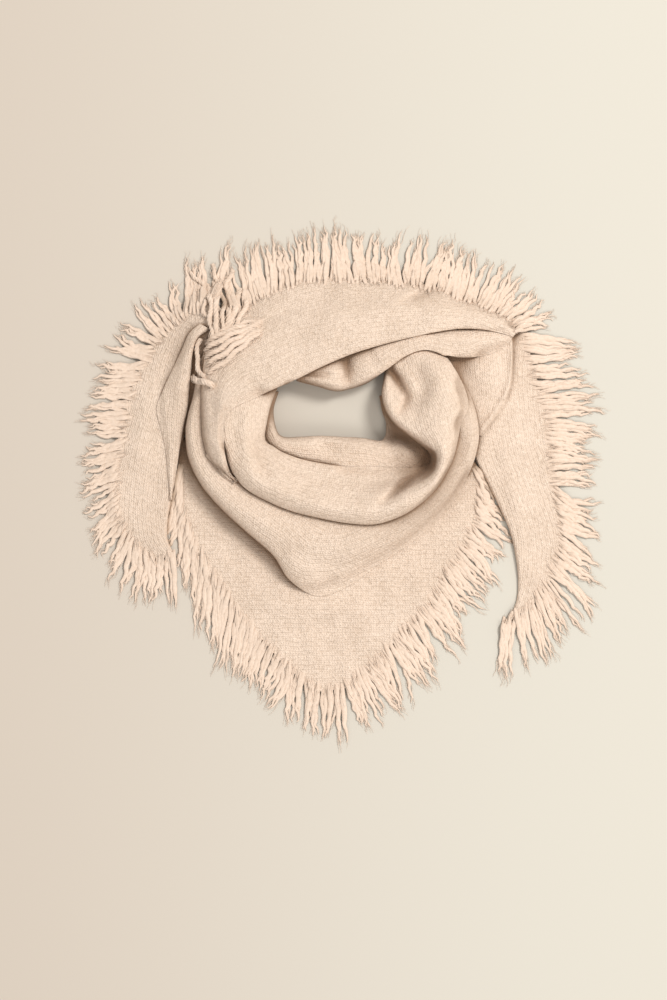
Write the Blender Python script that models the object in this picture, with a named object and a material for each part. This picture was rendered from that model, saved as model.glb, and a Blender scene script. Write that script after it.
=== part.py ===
"""A triangular wool shawl, wound once round a neck and laid down flat.

The shawl is laid down piece by piece on a laying plan, from the bottom layer
up. The plan is seen from above, in millimetres: x runs to the right and y
down the plan, towards the point of the bib. Each stretch of cloth is a strip
between its edge a and its edge b, and a table gives its cross-sections. Heap
keeps the height of all that lies there already, so that each new layer rests
on the ones below it.
"""

import math
from collections import namedtuple

import bmesh
import bpy
import numpy as np
from mathutils import Vector

# ---- Driving dimensions, in millimetres --------------------------------

MM = 0.001  # metres in a millimetre

PLAN_WIDTH = 667  # the laying plan's sheet
PLAN_DEPTH = 1000
ORIGIN_X = 341.2  # the part's origin on the laying plan
ORIGIN_Y = 484.6

CLOTH_WALL = 3.0  # thickness of the knit
SEAM_GAP = 0.3  # air between two layers
ROLL_RADIUS = 7.0  # how wide a folded edge rounds over
HEM_RADIUS = 3.0  # and the selvedge of the long edge
ROLL_ANGLES = (0.0, 38.0, 90.0)  # degrees round a folded edge

FRINGE_GAP = 0.6  # from the cloth's edge to the fringe's backing
BACKING_DEPTH = 3.2
BACKING_WALL = 2.4
FRINGE_PITCH = 8.6  # from one lock of fringe to the next
LOCK_WIDTH = 5.4
LOCK_SHARE = 0.66  # of the room between its neighbours, where that is narrow
LOCK_CLEARANCE = 0.6  # a lock's lowest point above the floor
LOCK_MIDDLE = 0.55  # where a lock bends, as a share of its length
LOCK_SWAY = 1.3  # sideways, so that no two locks are the same
LOCK_SHORTEST = 0.86  # share of its full length
LOCK_TAPER = (0.95, 0.5)  # width at the bend and at the tip
LOCK_THINNING = (0.95, 0.6)  # thickness at the same two places

SETTLING_PASSES = 40
SETTLED = 0.02

WOOL = (0.807, 0.631, 0.462)  # linear colour of the cream wool
WOOL_SHADE = (0.72, 0.55, 0.39)
WOOL_ROUGHNESS = 0.9

# ---- Cross-sections of the cloth ---------------------------------------
# Edge a, edge b, the height to which a folded edge a turns down, the cloth's
# upper surface at five even places from a to b, and the foot of edge b. A
# foot of 0 turns down to what the edge rests on, and a foot equal to the
# surface beside it is an edge that lies flat.

Section = namedtuple(
    "Section", "a_x a_y b_x b_y a_foot at_a quarter half three_quarters at_b b_foot"
)

NECK_INNER_LAYER = (
    Section(262, 396, 279, 392, 15, 15, 17, 18, 17, 16, 3),
    Section(258, 414, 274, 411, 16, 16, 18, 20, 19, 18, 3),
    Section(262, 436, 277, 430, 16, 16, 19, 21, 22, 20, 3),
    Section(272, 456, 284, 437, 16, 16, 19, 22, 24, 22, 3),
    Section(292, 468, 300, 437, 16, 16, 18, 21, 24, 23, 3),
    Section(318, 474, 320, 436, 16, 16, 18, 20, 23, 23, 3),
    Section(345, 478, 342, 437, 16, 16, 18, 20, 22, 22, 3),
    Section(372, 480, 362, 438, 16, 16, 18, 19, 21, 20, 3),
    Section(398, 478, 382, 440, 15, 15, 16, 17, 17, 16, 3),
    Section(420, 455, 386, 425, 12, 12, 14, 14, 13, 12, 3),
    Section(415, 430, 382, 412, 10, 10, 12, 12, 12, 11, 3),
    Section(400, 400, 379, 396, 10, 10, 12, 12, 12, 12, 3),
)

FRONT_BIB = (
    Section(186, 452, 476, 462, 3, 3, 3, 3, 3, 3, 3),
    Section(181, 490, 482, 490, 3, 3, 3, 3, 3, 3, 3),
    Section(184, 520, 480, 520, 3, 3, 3, 3, 3, 3, 3),
    Section(196, 550, 464, 549, 3, 3, 4, 4, 3, 3, 3),
    Section(214, 580, 446, 578, 3, 3, 4, 5, 4, 3, 3),
    Section(236, 607, 430, 606, 3, 3, 4, 5, 5, 3, 3),
    Section(260, 637, 404, 632, 3, 3, 4, 3, 4, 3, 3),
    Section(284, 664, 378, 659, 3, 3, 3, 3, 3, 3, 3),
    Section(306, 682, 357, 678, 3, 3, 3, 3, 3, 3, 3),
    Section(322, 692, 345, 688, 3, 3, 3, 3, 3, 3, 3),
)

RIGHT_TAIL = (
    Section(492, 318, 519, 322, 0, 9, 9, 8, 7, 6, 6),
    Section(478, 345, 527, 343, 0, 9, 9, 8, 6, 5, 5),
    Section(470, 372, 534, 370, 0, 9, 9, 8, 6, 4, 4),
    Section(466, 400, 542, 398, 0, 9, 9, 8, 6, 4, 4),
    Section(466, 428, 551, 424, 0, 9, 9, 8, 6, 4, 4),
    Section(472, 452, 553, 450, 0, 9, 9, 8, 6, 4, 4),
    Section(485, 478, 556, 478, 0, 8, 9, 8, 6, 4, 4),
    Section(499, 507, 561, 507, 0, 8, 8, 7, 5, 4, 4),
    Section(510, 533, 563, 535, 0, 7, 7, 6, 5, 4, 4),
    Section(516, 560, 558, 560, 0, 6, 6, 5, 4, 4, 4),
    Section(518, 585, 548, 583, 0, 5, 5, 5, 4, 4, 4),
    Section(515, 605, 533, 604, 0, 4, 4, 4, 4, 4, 4),
    Section(503, 628, 513, 618, 3, 3, 3, 3, 3, 3, 3),
)

RIGHT_TAIL_COVER = (
    Section(513, 330, 455, 335, 0, 12, 13, 15, 17, 18, 18),
    Section(513.5, 352, 446, 352, 0, 12, 13, 14, 16, 17, 17),
    Section(513, 372, 448, 368, 0, 12, 13, 14, 15, 16, 16),
    Section(511, 389, 456, 388, 0, 12, 13, 14, 15, 15, 15),
    Section(504, 406, 464, 404, 0, 12, 13, 13, 14, 14, 14),
    Section(493, 422, 468, 420, 0, 12, 13, 13, 13, 13, 13),
    Section(481, 437, 470, 432, 0, 12, 12, 12, 12, 12, 12),
)

LEFT_TAIL = (
    Section(214, 298, 226, 318, 20, 20, 22, 23, 23, 23, 0),
    Section(196, 308, 218, 331, 15, 15, 19, 21, 22, 23, 0),
    Section(174, 324, 211, 340, 9, 9, 13, 17, 20, 21, 0),
    Section(154, 345, 207, 356, 5, 5, 9, 13, 16, 18, 0),
    Section(140, 368, 204, 376, 4, 4, 8, 11, 14, 15, 0),
    Section(129, 395, 200, 397, 4, 4, 7, 10, 12, 13, 0),
    Section(124, 422, 192, 418, 4, 4, 6, 8, 10, 11, 0),
    Section(120, 449, 182, 445, 4, 4, 6, 7, 8, 9, 0),
    Section(114, 474, 177, 470, 4, 4, 5, 6, 7, 7, 0),
    Section(115, 500, 172, 496, 4, 4, 5, 6, 7, 7, 0),
    Section(120, 522, 168, 520, 4, 4, 5, 6, 7, 7, 0),
    Section(129, 543, 168, 540, 3, 3, 4, 6, 7, 7, 0),
    Section(146, 560, 176, 556, 3, 3, 4, 5, 6, 6, 0),
)

LEFT_TAIL_FOLD = (
    Section(201, 325, 211, 331, 0, 22, 24, 25, 25, 24, 0),
    Section(190, 335, 199, 340, 0, 23, 25, 27, 28, 28, 0),
    Section(182, 352, 194, 354, 0, 20, 22, 24, 25, 25, 0),
    Section(173, 371, 192, 374, 0, 17, 19, 21, 22, 22, 0),
    Section(164, 390, 190, 393, 0, 14, 16, 18, 19, 19, 0),
    Section(157, 409, 188, 413, 0, 11, 13, 15, 16, 16, 0),
    Section(161, 428, 184, 430, 0, 10, 11, 12, 13, 13, 0),
    Section(169, 446, 179, 447, 0, 9, 10, 10, 10, 10, 0),
)

OUTER_DRAPE = (
    Section(205, 352, 221, 357, 0, 19, 21, 22, 22, 22, 22),
    Section(198, 374, 213, 376, 0, 20, 24, 25, 25, 25, 25),
    Section(194, 396, 208, 396, 0, 21, 25, 27, 27, 27, 27),
    Section(189, 416, 206, 416, 0, 23, 27, 28, 28, 28, 28),
    Section(186.5, 434, 207, 432, 0, 24, 28, 29, 29, 28, 28),
    Section(189, 458, 214, 447, 0, 25, 29, 30, 29, 28, 28),
    Section(201, 484, 228, 464, 0, 26, 30, 31, 30, 28, 28),
    Section(221, 508, 246, 478, 0, 26, 31, 31, 30, 28, 28),
    Section(247, 532, 270, 491, 0, 26, 31, 32, 31, 29, 29),
    Section(273, 555, 297, 502, 0, 24, 30, 32, 31, 30, 30),
    Section(290, 580, 320, 508, 3, 17, 27, 31, 31, 30, 30),
    Section(318, 596, 342, 511, 4, 8, 20, 28, 31, 30, 30),
    Section(350, 585, 362, 512, 6, 6, 16, 25, 30, 30, 30),
    Section(382, 562, 384, 508, 6, 6, 14, 23, 29, 30, 30),
    Section(410, 544, 404, 498, 6, 6, 14, 22, 28, 30, 30),
    Section(436, 521, 422, 484, 4, 8, 15, 23, 28, 30, 30),
    Section(456, 497, 437, 465, 0, 12, 18, 24, 28, 30, 30),
    Section(471, 468, 447, 445, 0, 16, 21, 25, 29, 30, 30),
    Section(478, 440, 452, 424, 0, 18, 23, 26, 30, 30, 30),
    Section(476, 416, 449, 404, 0, 19, 24, 28, 31, 30, 30),
    Section(468, 393, 443, 385, 0, 18, 23, 28, 30, 30, 30),
    Section(454, 371, 434, 370, 0, 16, 20, 26, 28, 28, 28),
    Section(441, 352, 424, 355, 0, 14, 18, 22, 24, 24, 24),
)

INNER_DRAPE = (
    Section(226, 400, 282, 380, 0, 30, 36, 36, 34, 32, 3),
    Section(227, 415, 272, 405, 0, 32, 40, 40, 36, 32, 0),
    Section(226, 432, 268, 422, 0, 34, 43, 42, 36, 30, 0),
    Section(228, 452, 266, 440, 0, 36, 44, 43, 36, 28, 0),
    Section(234, 473, 276, 448, 0, 38, 45, 43, 34, 28, 0),
    Section(247, 489, 284, 453, 0, 38, 46, 42, 33, 28, 0),
    Section(268, 501, 300, 459, 0, 38, 46, 40, 31, 27, 0),
    Section(292, 511, 318, 463, 0, 38, 46, 38, 30, 27, 0),
    Section(320, 518, 338, 466, 0, 38, 46, 38, 29, 27, 0),
    Section(348, 523, 360, 467, 0, 38, 46, 38, 28, 27, 0),
    Section(374, 524, 378, 467, 0, 38, 46, 40, 26, 27, 0),
    Section(398, 517, 396, 468, 0, 38, 47, 42, 26, 27, 0),
    Section(418, 505, 414, 468, 0, 38, 48, 44, 28, 26, 0),
    Section(434, 490, 426, 465, 0, 38, 49, 46, 32, 27, 0),
    Section(445, 473, 430, 461, 0, 38, 48, 48, 40, 30, 0),
    Section(452, 458, 428, 453, 0, 38, 48, 50, 44, 34, 0),
    Section(456, 442, 419, 445, 0, 37, 47, 50, 46, 38, 0),
    Section(460, 424, 406, 435, 0, 36, 47, 50, 46, 42, 0),
    Section(467, 408, 394, 425, 0, 36, 46, 49, 45, 42, 0),
    Section(463, 388, 385, 412, 0, 34, 45, 47, 38, 42, 0),
    Section(452, 368, 381, 395, 0, 30, 40, 42, 33, 38, 3),
    Section(441, 352, 384, 374, 0, 26, 32, 32, 28, 29, 3),
    Section(428, 337, 384, 354, 0, 20, 24, 25, 24, 23, 3),
)

LOWER_BACK_LAYER = (
    Section(292, 368, 297, 382, 26, 26, 30, 32, 32, 30, 3),
    Section(312, 358, 316, 387, 26, 26, 31, 33, 33, 31, 3),
    Section(330, 352, 335, 392, 26, 26, 31, 33, 33, 31, 3),
    Section(346, 348, 349, 390, 24, 24, 27, 28, 28, 28, 3),
    Section(364, 343, 367, 384, 26, 26, 31, 33, 33, 32, 3),
    Section(382, 338, 385, 372, 26, 26, 32, 34, 34, 33, 3),
    Section(400, 334, 405, 358, 26, 26, 31, 33, 33, 32, 0),
    Section(418, 328, 424, 352, 26, 26, 30, 32, 32, 31, 0),
    Section(436, 324, 445, 357, 24, 24, 28, 31, 31, 30, 0),
    Section(455, 321, 464, 359, 20, 20, 25, 29, 29, 27, 0),
    Section(475, 320, 485, 356, 18, 18, 22, 25, 25, 23, 0),
    Section(496, 325, 503, 348, 15, 15, 18, 20, 20, 19, 0),
    Section(508, 330, 512, 338, 14, 14, 15, 16, 16, 16, 0),
)

UPPER_BAND = (
    Section(523, 324, 512, 338, 10, 10, 15, 19, 22, 23, 0),
    Section(506, 314, 497, 334, 9, 9, 16, 22, 25, 26, 0),
    Section(484, 303, 478, 331, 6, 6, 15, 22, 27, 28, 0),
    Section(460, 294, 456, 331, 6, 6, 17, 26, 31, 32, 0),
    Section(435, 287, 432, 335, 6, 6, 18, 29, 34, 35, 0),
    Section(408, 282, 405, 341, 6, 6, 20, 31, 36, 38, 0),
    Section(380, 278, 378, 348, 6, 6, 20, 32, 38, 40, 0),
    Section(350, 277, 350, 357, 6, 6, 21, 33, 40, 42, 0),
    Section(320, 278, 322, 369, 6, 6, 21, 33, 40, 43, 0),
    Section(292, 281, 300, 380, 6, 6, 21, 33, 40, 44, 0),
    Section(266, 291, 282, 388, 7, 7, 22, 34, 41, 45, 0),
    Section(249, 303, 266, 395, 9, 9, 24, 35, 42, 46, 0),
    Section(232, 312, 251, 402, 16, 16, 29, 37, 43, 47, 0),
    Section(215, 331, 238, 408, 24, 24, 33, 39, 44, 47, 0),
    Section(206, 358, 229, 416, 0, 28, 36, 41, 46, 46, 0),
    Section(203, 390, 226, 430, 0, 31, 39, 42, 45, 44, 0),
    Section(203, 420, 226, 448, 0, 32, 40, 43, 45, 44, 0),
    Section(204.5, 440, 229, 463, 0, 32, 40, 43, 45, 43, 0),
    Section(210, 456, 233, 473, 0, 30, 38, 42, 43, 40, 0),
    Section(222, 469, 238, 480, 0, 28, 34, 38, 40, 38, 0),
    Section(234, 479, 240, 483, 0, 24, 30, 34, 36, 36, 0),
)

# The ring of hidden layers: its inner and outer outline and its crest, once
# round the neck hole from the left by the front.

RingSection = namedtuple("RingSection", "in_x in_y out_x out_y crest")

HIDDEN_LAYERS = (
    RingSection(264, 412, 220, 412, 15),
    RingSection(269, 438, 226, 446, 15),
    RingSection(284, 448, 246, 476, 15),
    RingSection(302, 452, 272, 499, 15),
    RingSection(326, 453, 306, 516, 15),
    RingSection(350, 453, 346, 520, 15),
    RingSection(374, 452, 382, 511, 15),
    RingSection(398, 444, 412, 489, 15),
    RingSection(408, 426, 434, 461, 15),
    RingSection(407, 406, 444, 428, 15),
    RingSection(402, 386, 438, 390, 15),
    RingSection(396, 368, 430, 356, 15),
    RingSection(382, 356, 408, 325, 15),
    RingSection(350, 354, 360, 309, 15),
    RingSection(320, 360, 312, 309, 15),
    RingSection(296, 369, 272, 322, 15),
    RingSection(276, 384, 242, 352, 15),
    RingSection(265, 397, 226, 384, 15),
)

# ---- Fringe ------------------------------------------------------------
# Each row is one guide lock, from its root on the cloth's edge to its tip.
# The locks between two guides turn evenly from the one to the other.

Guide = namedtuple("Guide", "root_x root_y tip_x tip_y")

FRINGE_BIB_LEFT = (
    Guide(183, 492, 166, 540),
    Guide(186, 512, 172, 563),
    Guide(190, 530, 187, 592),
    Guide(205, 565, 197, 640),
    Guide(226, 594, 222, 665),
    Guide(251, 624, 236, 686),
    Guide(272, 651, 255, 700),
    Guide(285, 668, 265, 712),
    Guide(302, 680, 297, 738),
    Guide(315, 687, 310, 742),
    Guide(328, 691, 330, 745),
    Guide(344, 689, 350, 748),
)

FRINGE_BIB_RIGHT = (
    Guide(346, 687, 363, 747),
    Guide(357, 675, 382, 735),
    Guide(369, 664, 400, 728),
    Guide(385, 652, 412, 715),
    Guide(401, 632, 436, 692),
    Guide(415, 618, 447, 672),
    Guide(430, 605, 464, 650),
    Guide(440, 590, 472, 632),
    Guide(447, 575, 482, 612),
    Guide(455, 560, 492, 600),
    Guide(464, 548, 500, 588),
    Guide(474, 538, 508, 568),
    Guide(481, 520, 510, 545),
)

FRINGE_RIGHT_TAIL = (
    Guide(524, 335, 585, 340),
    Guide(530, 355, 590, 355),
    Guide(535, 375, 590, 370),
    Guide(541, 395, 603, 392),
    Guide(546, 412, 606, 413),
    Guide(551, 428, 600, 436),
    Guide(553, 445, 598, 456),
    Guide(553, 472, 602, 470),
    Guide(559, 493, 600, 508),
    Guide(561, 514, 601, 535),
    Guide(563, 535, 600, 560),
    Guide(559, 556, 596, 585),
    Guide(555, 568, 596, 608),
    Guide(550, 577, 590, 632),
    Guide(544, 594, 575, 650),
    Guide(536, 602, 560, 660),
    Guide(529, 609, 545, 669),
    Guide(520, 615, 528, 676),
    Guide(513, 619, 510, 680),
    Guide(503, 628, 488, 688),
)

FRINGE_LEFT_TAIL = (
    Guide(214, 298, 240, 228),
    Guide(205, 303, 212, 237),
    Guide(190, 313, 188, 250),
    Guide(178, 322, 158, 283),
    Guide(165, 333, 130, 298),
    Guide(156, 342, 116, 317),
    Guide(146, 359, 94, 350),
    Guide(133, 384, 86, 384),
    Guide(127, 403, 80, 405),
    Guide(124, 425, 78, 428),
    Guide(121, 445, 80, 452),
    Guide(116, 466, 80, 478),
    Guide(113, 485, 76, 504),
    Guide(115, 500, 82, 525),
    Guide(118, 515, 88, 547),
    Guide(124, 530, 98, 566),
    Guide(130, 545, 116, 592),
    Guide(140, 555, 134, 604),
    Guide(152, 562, 150, 612),
    Guide(165, 563, 165, 618),
    Guide(178, 558, 180, 620),
)

FRINGE_TOP = (
    Guide(522, 323, 562, 311),
    Guide(514, 319, 549, 295),
    Guide(504, 312, 532, 275),
    Guide(484, 302, 508, 258),
    Guide(460, 294, 476, 245),
    Guide(435, 287, 445, 232),
    Guide(408, 282, 412, 234),
    Guide(380, 278, 378, 230),
    Guide(350, 277, 347, 222),
    Guide(320, 278, 317, 221),
    Guide(292, 281, 287, 232),
    Guide(270, 289, 262, 240),
    Guide(254, 299, 244, 246),
    Guide(240, 307, 228, 258),
    Guide(231, 312, 214, 266),
)

# The loose strands over the crossing at the left hang on two short backings,
# given by their ends on the plan.

KNOT_DOWN_BACKING = ((206, 293), (236, 299))
KNOT_DOWN = (
    Guide(208, 293, 212, 342),
    Guide(220, 296, 221, 341),
    Guide(234, 299, 231, 336),
)

KNOT_ACROSS_BACKING = ((205, 350), (212, 382))
KNOT_ACROSS = (
    Guide(205, 351, 254, 328),
    Guide(208, 365, 257, 334),
    Guide(212, 381, 258, 341),
)


# ---- Curves ------------------------------------------------------------


def between(knots, places, closed=False):
    """A smooth curve through the rows of `knots`, read at `places` (0 is the first row)."""
    knots = np.asarray(knots, float)
    count = len(knots)
    start = np.floor(places).astype(int)
    if not closed:
        start = np.clip(start, 0, count - 2)
    share = (places - start)[:, None]
    if closed:
        first, second, third, fourth = (knots[(start + k) % count] for k in (-1, 0, 1, 2))
    else:
        padded = np.vstack([2 * knots[0] - knots[1], knots, 2 * knots[-1] - knots[-2]])
        first, second, third, fourth = (padded[start + k] for k in (0, 1, 2, 3))
    return 0.5 * (
        2 * second
        + (third - first) * share
        + (2 * first - 5 * second + 4 * third - fourth) * share**2
        + (3 * second - first - 3 * third + fourth) * share**3
    )


def along(path):
    """The distance along a polyline at each of its points."""
    steps = np.linalg.norm(np.diff(path[:, :2], axis=0), axis=1)
    return np.concatenate([[0.0], np.cumsum(steps)])


def read_path(path, places):
    """Points at the distances `places` along a polyline."""
    reach = along(path)
    return np.stack([np.interp(places, reach, column) for column in path.T], axis=1)


def nearest_place(path, point):
    """The distance along a polyline at which it comes nearest to a point."""
    places = np.arange(0.0, along(path)[-1], 0.5)
    apart = np.linalg.norm(read_path(path, places)[:, :2] - point, axis=1)
    return places[apart.argmin()]


# ---- The heap ----------------------------------------------------------


def triangles_of(points):
    """Both ways to split each quad of a grid of points into triangles: (triangles, 3) grid indices."""
    rows, columns = points.shape[:2]
    index = np.arange(rows * columns).reshape(rows, columns)
    a, b, c, d = index[:-1, :-1], index[:-1, 1:], index[1:, 1:], index[1:, :-1]
    corners = ((a, b, c), (a, c, d), (a, b, d), (b, c, d))
    return np.concatenate([np.stack(corner, -1).reshape(-1, 3) for corner in corners])


def cells_of(plan, triangles):
    """The plan's 1 mm cells whose centres lie in each triangle: triangle, y, x and the three weights."""
    found = []
    for number, corners in enumerate(plan[triangles]):
        low = np.floor(corners.min(axis=0)).astype(int)
        high = np.ceil(corners.max(axis=0)).astype(int) + 1
        x, y = np.meshgrid(np.arange(low[0], high[0]), np.arange(low[1], high[1]))
        (ax, ay), (bx, by), (cx, cy) = corners
        area = (bx - ax) * (cy - ay) - (cx - ax) * (by - ay)
        if abs(area) < 1e-6:
            continue
        second = ((x - ax) * (cy - ay) - (cx - ax) * (y - ay)) / area
        third = ((bx - ax) * (y - ay) - (x - ax) * (by - ay)) / area
        weights = np.stack([1 - second - third, second, third], axis=-1)
        inside = weights.min(axis=-1) > -1e-6
        cells = np.stack([y[inside], x[inside]], axis=1)
        owner = np.full(len(cells), number)
        found.append((owner, cells, weights[inside]))
    owners, cells, weights = (np.concatenate(parts) for parts in zip(*found))
    return owners, cells, weights


class Heap:
    """The height of everything laid so far, on a 1 mm raster of the laying plan."""

    def __init__(self):
        self.top = np.full((PLAN_DEPTH, PLAN_WIDTH), -SEAM_GAP)

    def copy(self):
        """The heap as it is now, for what is laid beside the next piece."""
        twin = Heap()
        twin.top = self.top.copy()
        return twin

    def support(self):
        """The raster with each cell as high as its highest neighbour."""
        padded = np.pad(self.top, 1, mode="edge")
        depth, width = self.top.shape
        shifted = [padded[j : j + depth, i : i + width] for j in range(3) for i in range(3)]
        return np.max(shifted, axis=0)

    def under(self, plan):
        """The highest thing laid so far under each plan point."""
        cells = np.rint(plan).astype(int)
        return self.support()[cells[..., 1], cells[..., 0]]

    def settle(self, plan, height, owner):
        """How far each point in `owner` rises so that the surface clears all that lies below it.

        The surface is the grid of `plan` points and `height`, and `owner`
        gives, for each of its points, the number of the point that moves it.
        """
        flat_plan = plan.reshape(-1, 2)
        flat_owner = owner.reshape(-1)
        corners = triangles_of(plan)
        numbers, cells, weights = cells_of(flat_plan, corners)
        needed = self.support()[cells[:, 0], cells[:, 1]] + SEAM_GAP
        moved = flat_owner[corners[numbers]]
        at_points = self.under(plan).reshape(-1) + SEAM_GAP
        rise = np.zeros(flat_owner.max() + 1)
        np.maximum.at(rise, flat_owner, at_points - height.reshape(-1))
        rise = np.maximum(rise, 0)
        base = height.reshape(-1)[corners[numbers]]
        for _ in range(SETTLING_PASSES):
            now = ((base + rise[moved]) * weights).sum(axis=1)
            short = needed - now
            low = short > SETTLED
            if not low.any():
                break
            share = short[low, None] * weights[low] / (weights[low] ** 2).sum(axis=1)[:, None]
            wanted = rise[moved[low]] + np.maximum(share, 0)
            np.maximum.at(rise, moved[low], wanted)
        return rise

    def add(self, plan, height):
        """Raises the heap to a grid of points laid on it."""
        corners = triangles_of(plan)
        numbers, cells, weights = cells_of(plan.reshape(-1, 2), corners)
        laid = (height.reshape(-1)[corners[numbers]] * weights).sum(axis=1)
        np.maximum.at(self.top, (cells[:, 0], cells[:, 1]), laid)


# ---- Cloth -------------------------------------------------------------


def to_part(plan, height):
    """Plan points and heights as points of the part, in metres."""
    x = (plan[..., 0] - ORIGIN_X) * MM
    y = (ORIGIN_Y - plan[..., 1]) * MM
    return np.stack([x, y, height * MM], axis=-1).reshape(-1, 3)


def across(width, roll_a, roll_b, columns):
    """Distances from edge a to edge b at which the cloth has a point: closer where an edge rolls over."""
    starts = []
    for roll in (roll_a, roll_b):
        radius = min(roll, 0.3 * width)
        starts.append([radius * (1 - math.cos(math.radians(angle))) for angle in ROLL_ANGLES])
        if not roll:
            starts[-1] = [0.0]
    near, far = starts
    middle = np.linspace(near[-1], width - far[-1], columns + 1)[1:-1]
    return np.concatenate([near, middle, [width - place for place in reversed(far)]])


def surface_of(table, rows, columns, roll_a, roll_b, heap):
    """The upper surface of a strip of cloth: a grid of plan points and their heights."""
    sections = [
        Section(*row) for row in between(table, np.linspace(0, len(table) - 1, rows))
    ]
    rise = np.sin(np.radians(ROLL_ANGLES))
    plan, height = [], []
    for section in sections:
        start = np.array([section.a_x, section.a_y])
        end = np.array([section.b_x, section.b_y])
        width = np.linalg.norm(end - start)
        places = across(width, roll_a, roll_b, columns)
        heights = between(np.array(section[5:10])[:, None], 4 * places / width)[:, 0]
        under = heap.under(np.stack([start, end])) + SEAM_GAP
        if roll_a:
            turn_down(heights[: len(rise)], max(section.a_foot, under[0]), rise)
        if roll_b:
            turn_down(heights[-len(rise) :][::-1], max(section.b_foot, under[1]), rise)
        plan.append(start + (end - start) * (places / width)[:, None])
        height.append(heights)
    return np.array(plan), np.array(height)


def turn_down(heights, foot, rise):
    """Rounds an edge's heights, from the edge inwards, down to its foot."""
    foot = min(foot, heights[0])
    heights[:] = foot + (heights - foot) * rise


def inner_side(plan, height, wall, roll_a, roll_b):
    """The underside of a surface, one wall thickness away from it, with plain cut ends and flat edges."""
    points = np.concatenate([plan, height[..., None]], axis=-1)
    normal = np.cross(np.gradient(points, axis=0), np.gradient(points, axis=1))
    normal /= np.linalg.norm(normal, axis=-1, keepdims=True)
    normal *= np.sign(normal[..., 2:].mean())
    inward = -wall * normal
    for end in (0, -1):
        line = plan[end, -1] - plan[end, 0]
        line /= np.linalg.norm(line)
        inward[end, :, :2] = (inward[end, :, :2] @ line)[:, None] * line
    if not roll_a:
        inward[:, 0, :2] = 0
    if not roll_b:
        inward[:, -1, :2] = 0
    return plan + inward[..., :2], height + inward[..., 2]


def rimmed(grid, rim):
    """A grid with the border of `rim` set round it."""
    wide = np.pad(grid, ((1, 1), (1, 1)) + ((0, 0),) * (grid.ndim - 2), mode="edge")
    around = np.pad(rim, ((1, 1), (1, 1)) + ((0, 0),) * (rim.ndim - 2), mode="edge")
    border = np.ones(wide.shape[:2], bool)
    border[1:-1, 1:-1] = False
    wide[border] = around[border]
    return wide


def shell(name, outer, inner, rows, columns, closed=False):
    """A wall of cloth as one closed object: a grid extruded from its inner to its outer side."""
    mesh = bpy.data.meshes.new(name)
    body = bmesh.new()
    bmesh.ops.create_grid(body, x_segments=columns - 1, y_segments=rows - 1, size=1.0)
    place = body.verts.layers.int.new("place")
    for point in body.verts:
        column = round((point.co.x + 1) / 2 * (columns - 1))
        row = round((point.co.y + 1) / 2 * (rows - 1))
        point[place] = row * columns + column
    for point in body.verts:
        point.co = inner[point[place]]
    if closed:
        bmesh.ops.remove_doubles(body, verts=body.verts, dist=1e-6)
    raised = bmesh.ops.extrude_face_region(body, geom=body.faces[:])["geom"]
    for point in raised:
        if isinstance(point, bmesh.types.BMVert):
            point.co = outer[point[place]]
    bmesh.ops.recalc_face_normals(body, faces=body.faces)
    body.to_mesh(mesh)
    body.free()
    return add_object(name, mesh)


def lay_cloth(name, heap, table, rows, columns, roll_a=0.0, roll_b=0.0):
    """Lays one stretch of cloth on the heap, and gives its upper surface.

    An edge with a roll rounds over that wide down to its foot. An edge
    without one lies flat.
    """
    plan, height = surface_of(table, rows, columns, roll_a, roll_b, heap)
    inner_plan, inner_height = inner_side(plan, height, CLOTH_WALL, roll_a, roll_b)
    inner_height = np.maximum(inner_height, 0)
    index = np.arange(plan.shape[0] * plan.shape[1]).reshape(plan.shape[:2])
    rise = heap.settle(
        rimmed(inner_plan, plan),
        rimmed(inner_height, np.minimum(height, inner_height)),
        rimmed(index, index),
    ).reshape(index.shape)
    outer_height = height + rise
    inner_height = inner_height + rise
    shell(
        name,
        to_part(plan, outer_height),
        to_part(inner_plan, inner_height),
        *plan.shape[:2],
    )
    heap.add(plan, outer_height)
    return plan, outer_height


def lay_hidden_layers(heap, rows=36, columns=6):
    """The ring of layers that nothing shows: flat below and round above."""
    places = np.linspace(0, len(HIDDEN_LAYERS), rows + 1)
    sections = [RingSection(*row) for row in between(HIDDEN_LAYERS, places, closed=True)]
    turn = np.linspace(0, math.pi, columns)
    share = (1 - np.cos(turn)) / 2
    bulge = np.sin(turn) ** 0.8
    plan, height = [], []
    for section in sections:
        start = np.array([section.in_x, section.in_y])
        end = np.array([section.out_x, section.out_y])
        plan.append(start + (end - start) * share[:, None])
        height.append(CLOTH_WALL + (section.crest - CLOTH_WALL) * bulge)
    plan, height = np.array(plan), np.array(height)
    shell(
        "hidden_layers",
        to_part(plan, height),
        to_part(plan, np.zeros_like(height)),
        rows + 1,
        columns,
        closed=True,
    )
    heap.add(plan, height)


# ---- Fringe ------------------------------------------------------------


def edge_of(cloth, side):
    """One edge of a laid cloth: plan x and y and the height of its underside."""
    plan, height = cloth
    pick = {
        "a": (slice(None), 0),
        "b": (slice(None), -1),
        "start": (0, slice(None)),
        "end": (-1, slice(None)),
    }[side]
    under = np.maximum(height[pick] - CLOTH_WALL, 0)
    return np.column_stack([plan[pick], under])


def offset(path, distance, guide):
    """A polyline moved sideways by a distance, to the side that the guide lock points to."""
    ahead = np.gradient(path[:, :2], axis=0)
    ahead /= np.linalg.norm(ahead, axis=1, keepdims=True)
    aside = np.stack([-ahead[:, 1], ahead[:, 0]], axis=1)
    at = np.linalg.norm(path[:, :2] - np.array(guide[:2]), axis=1).argmin()
    lean = np.array(guide[2:]) - np.array(guide[:2])
    if aside[at] @ lean < 0:
        aside = -aside
    moved = path.copy()
    moved[:, :2] += aside * distance
    return moved


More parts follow.
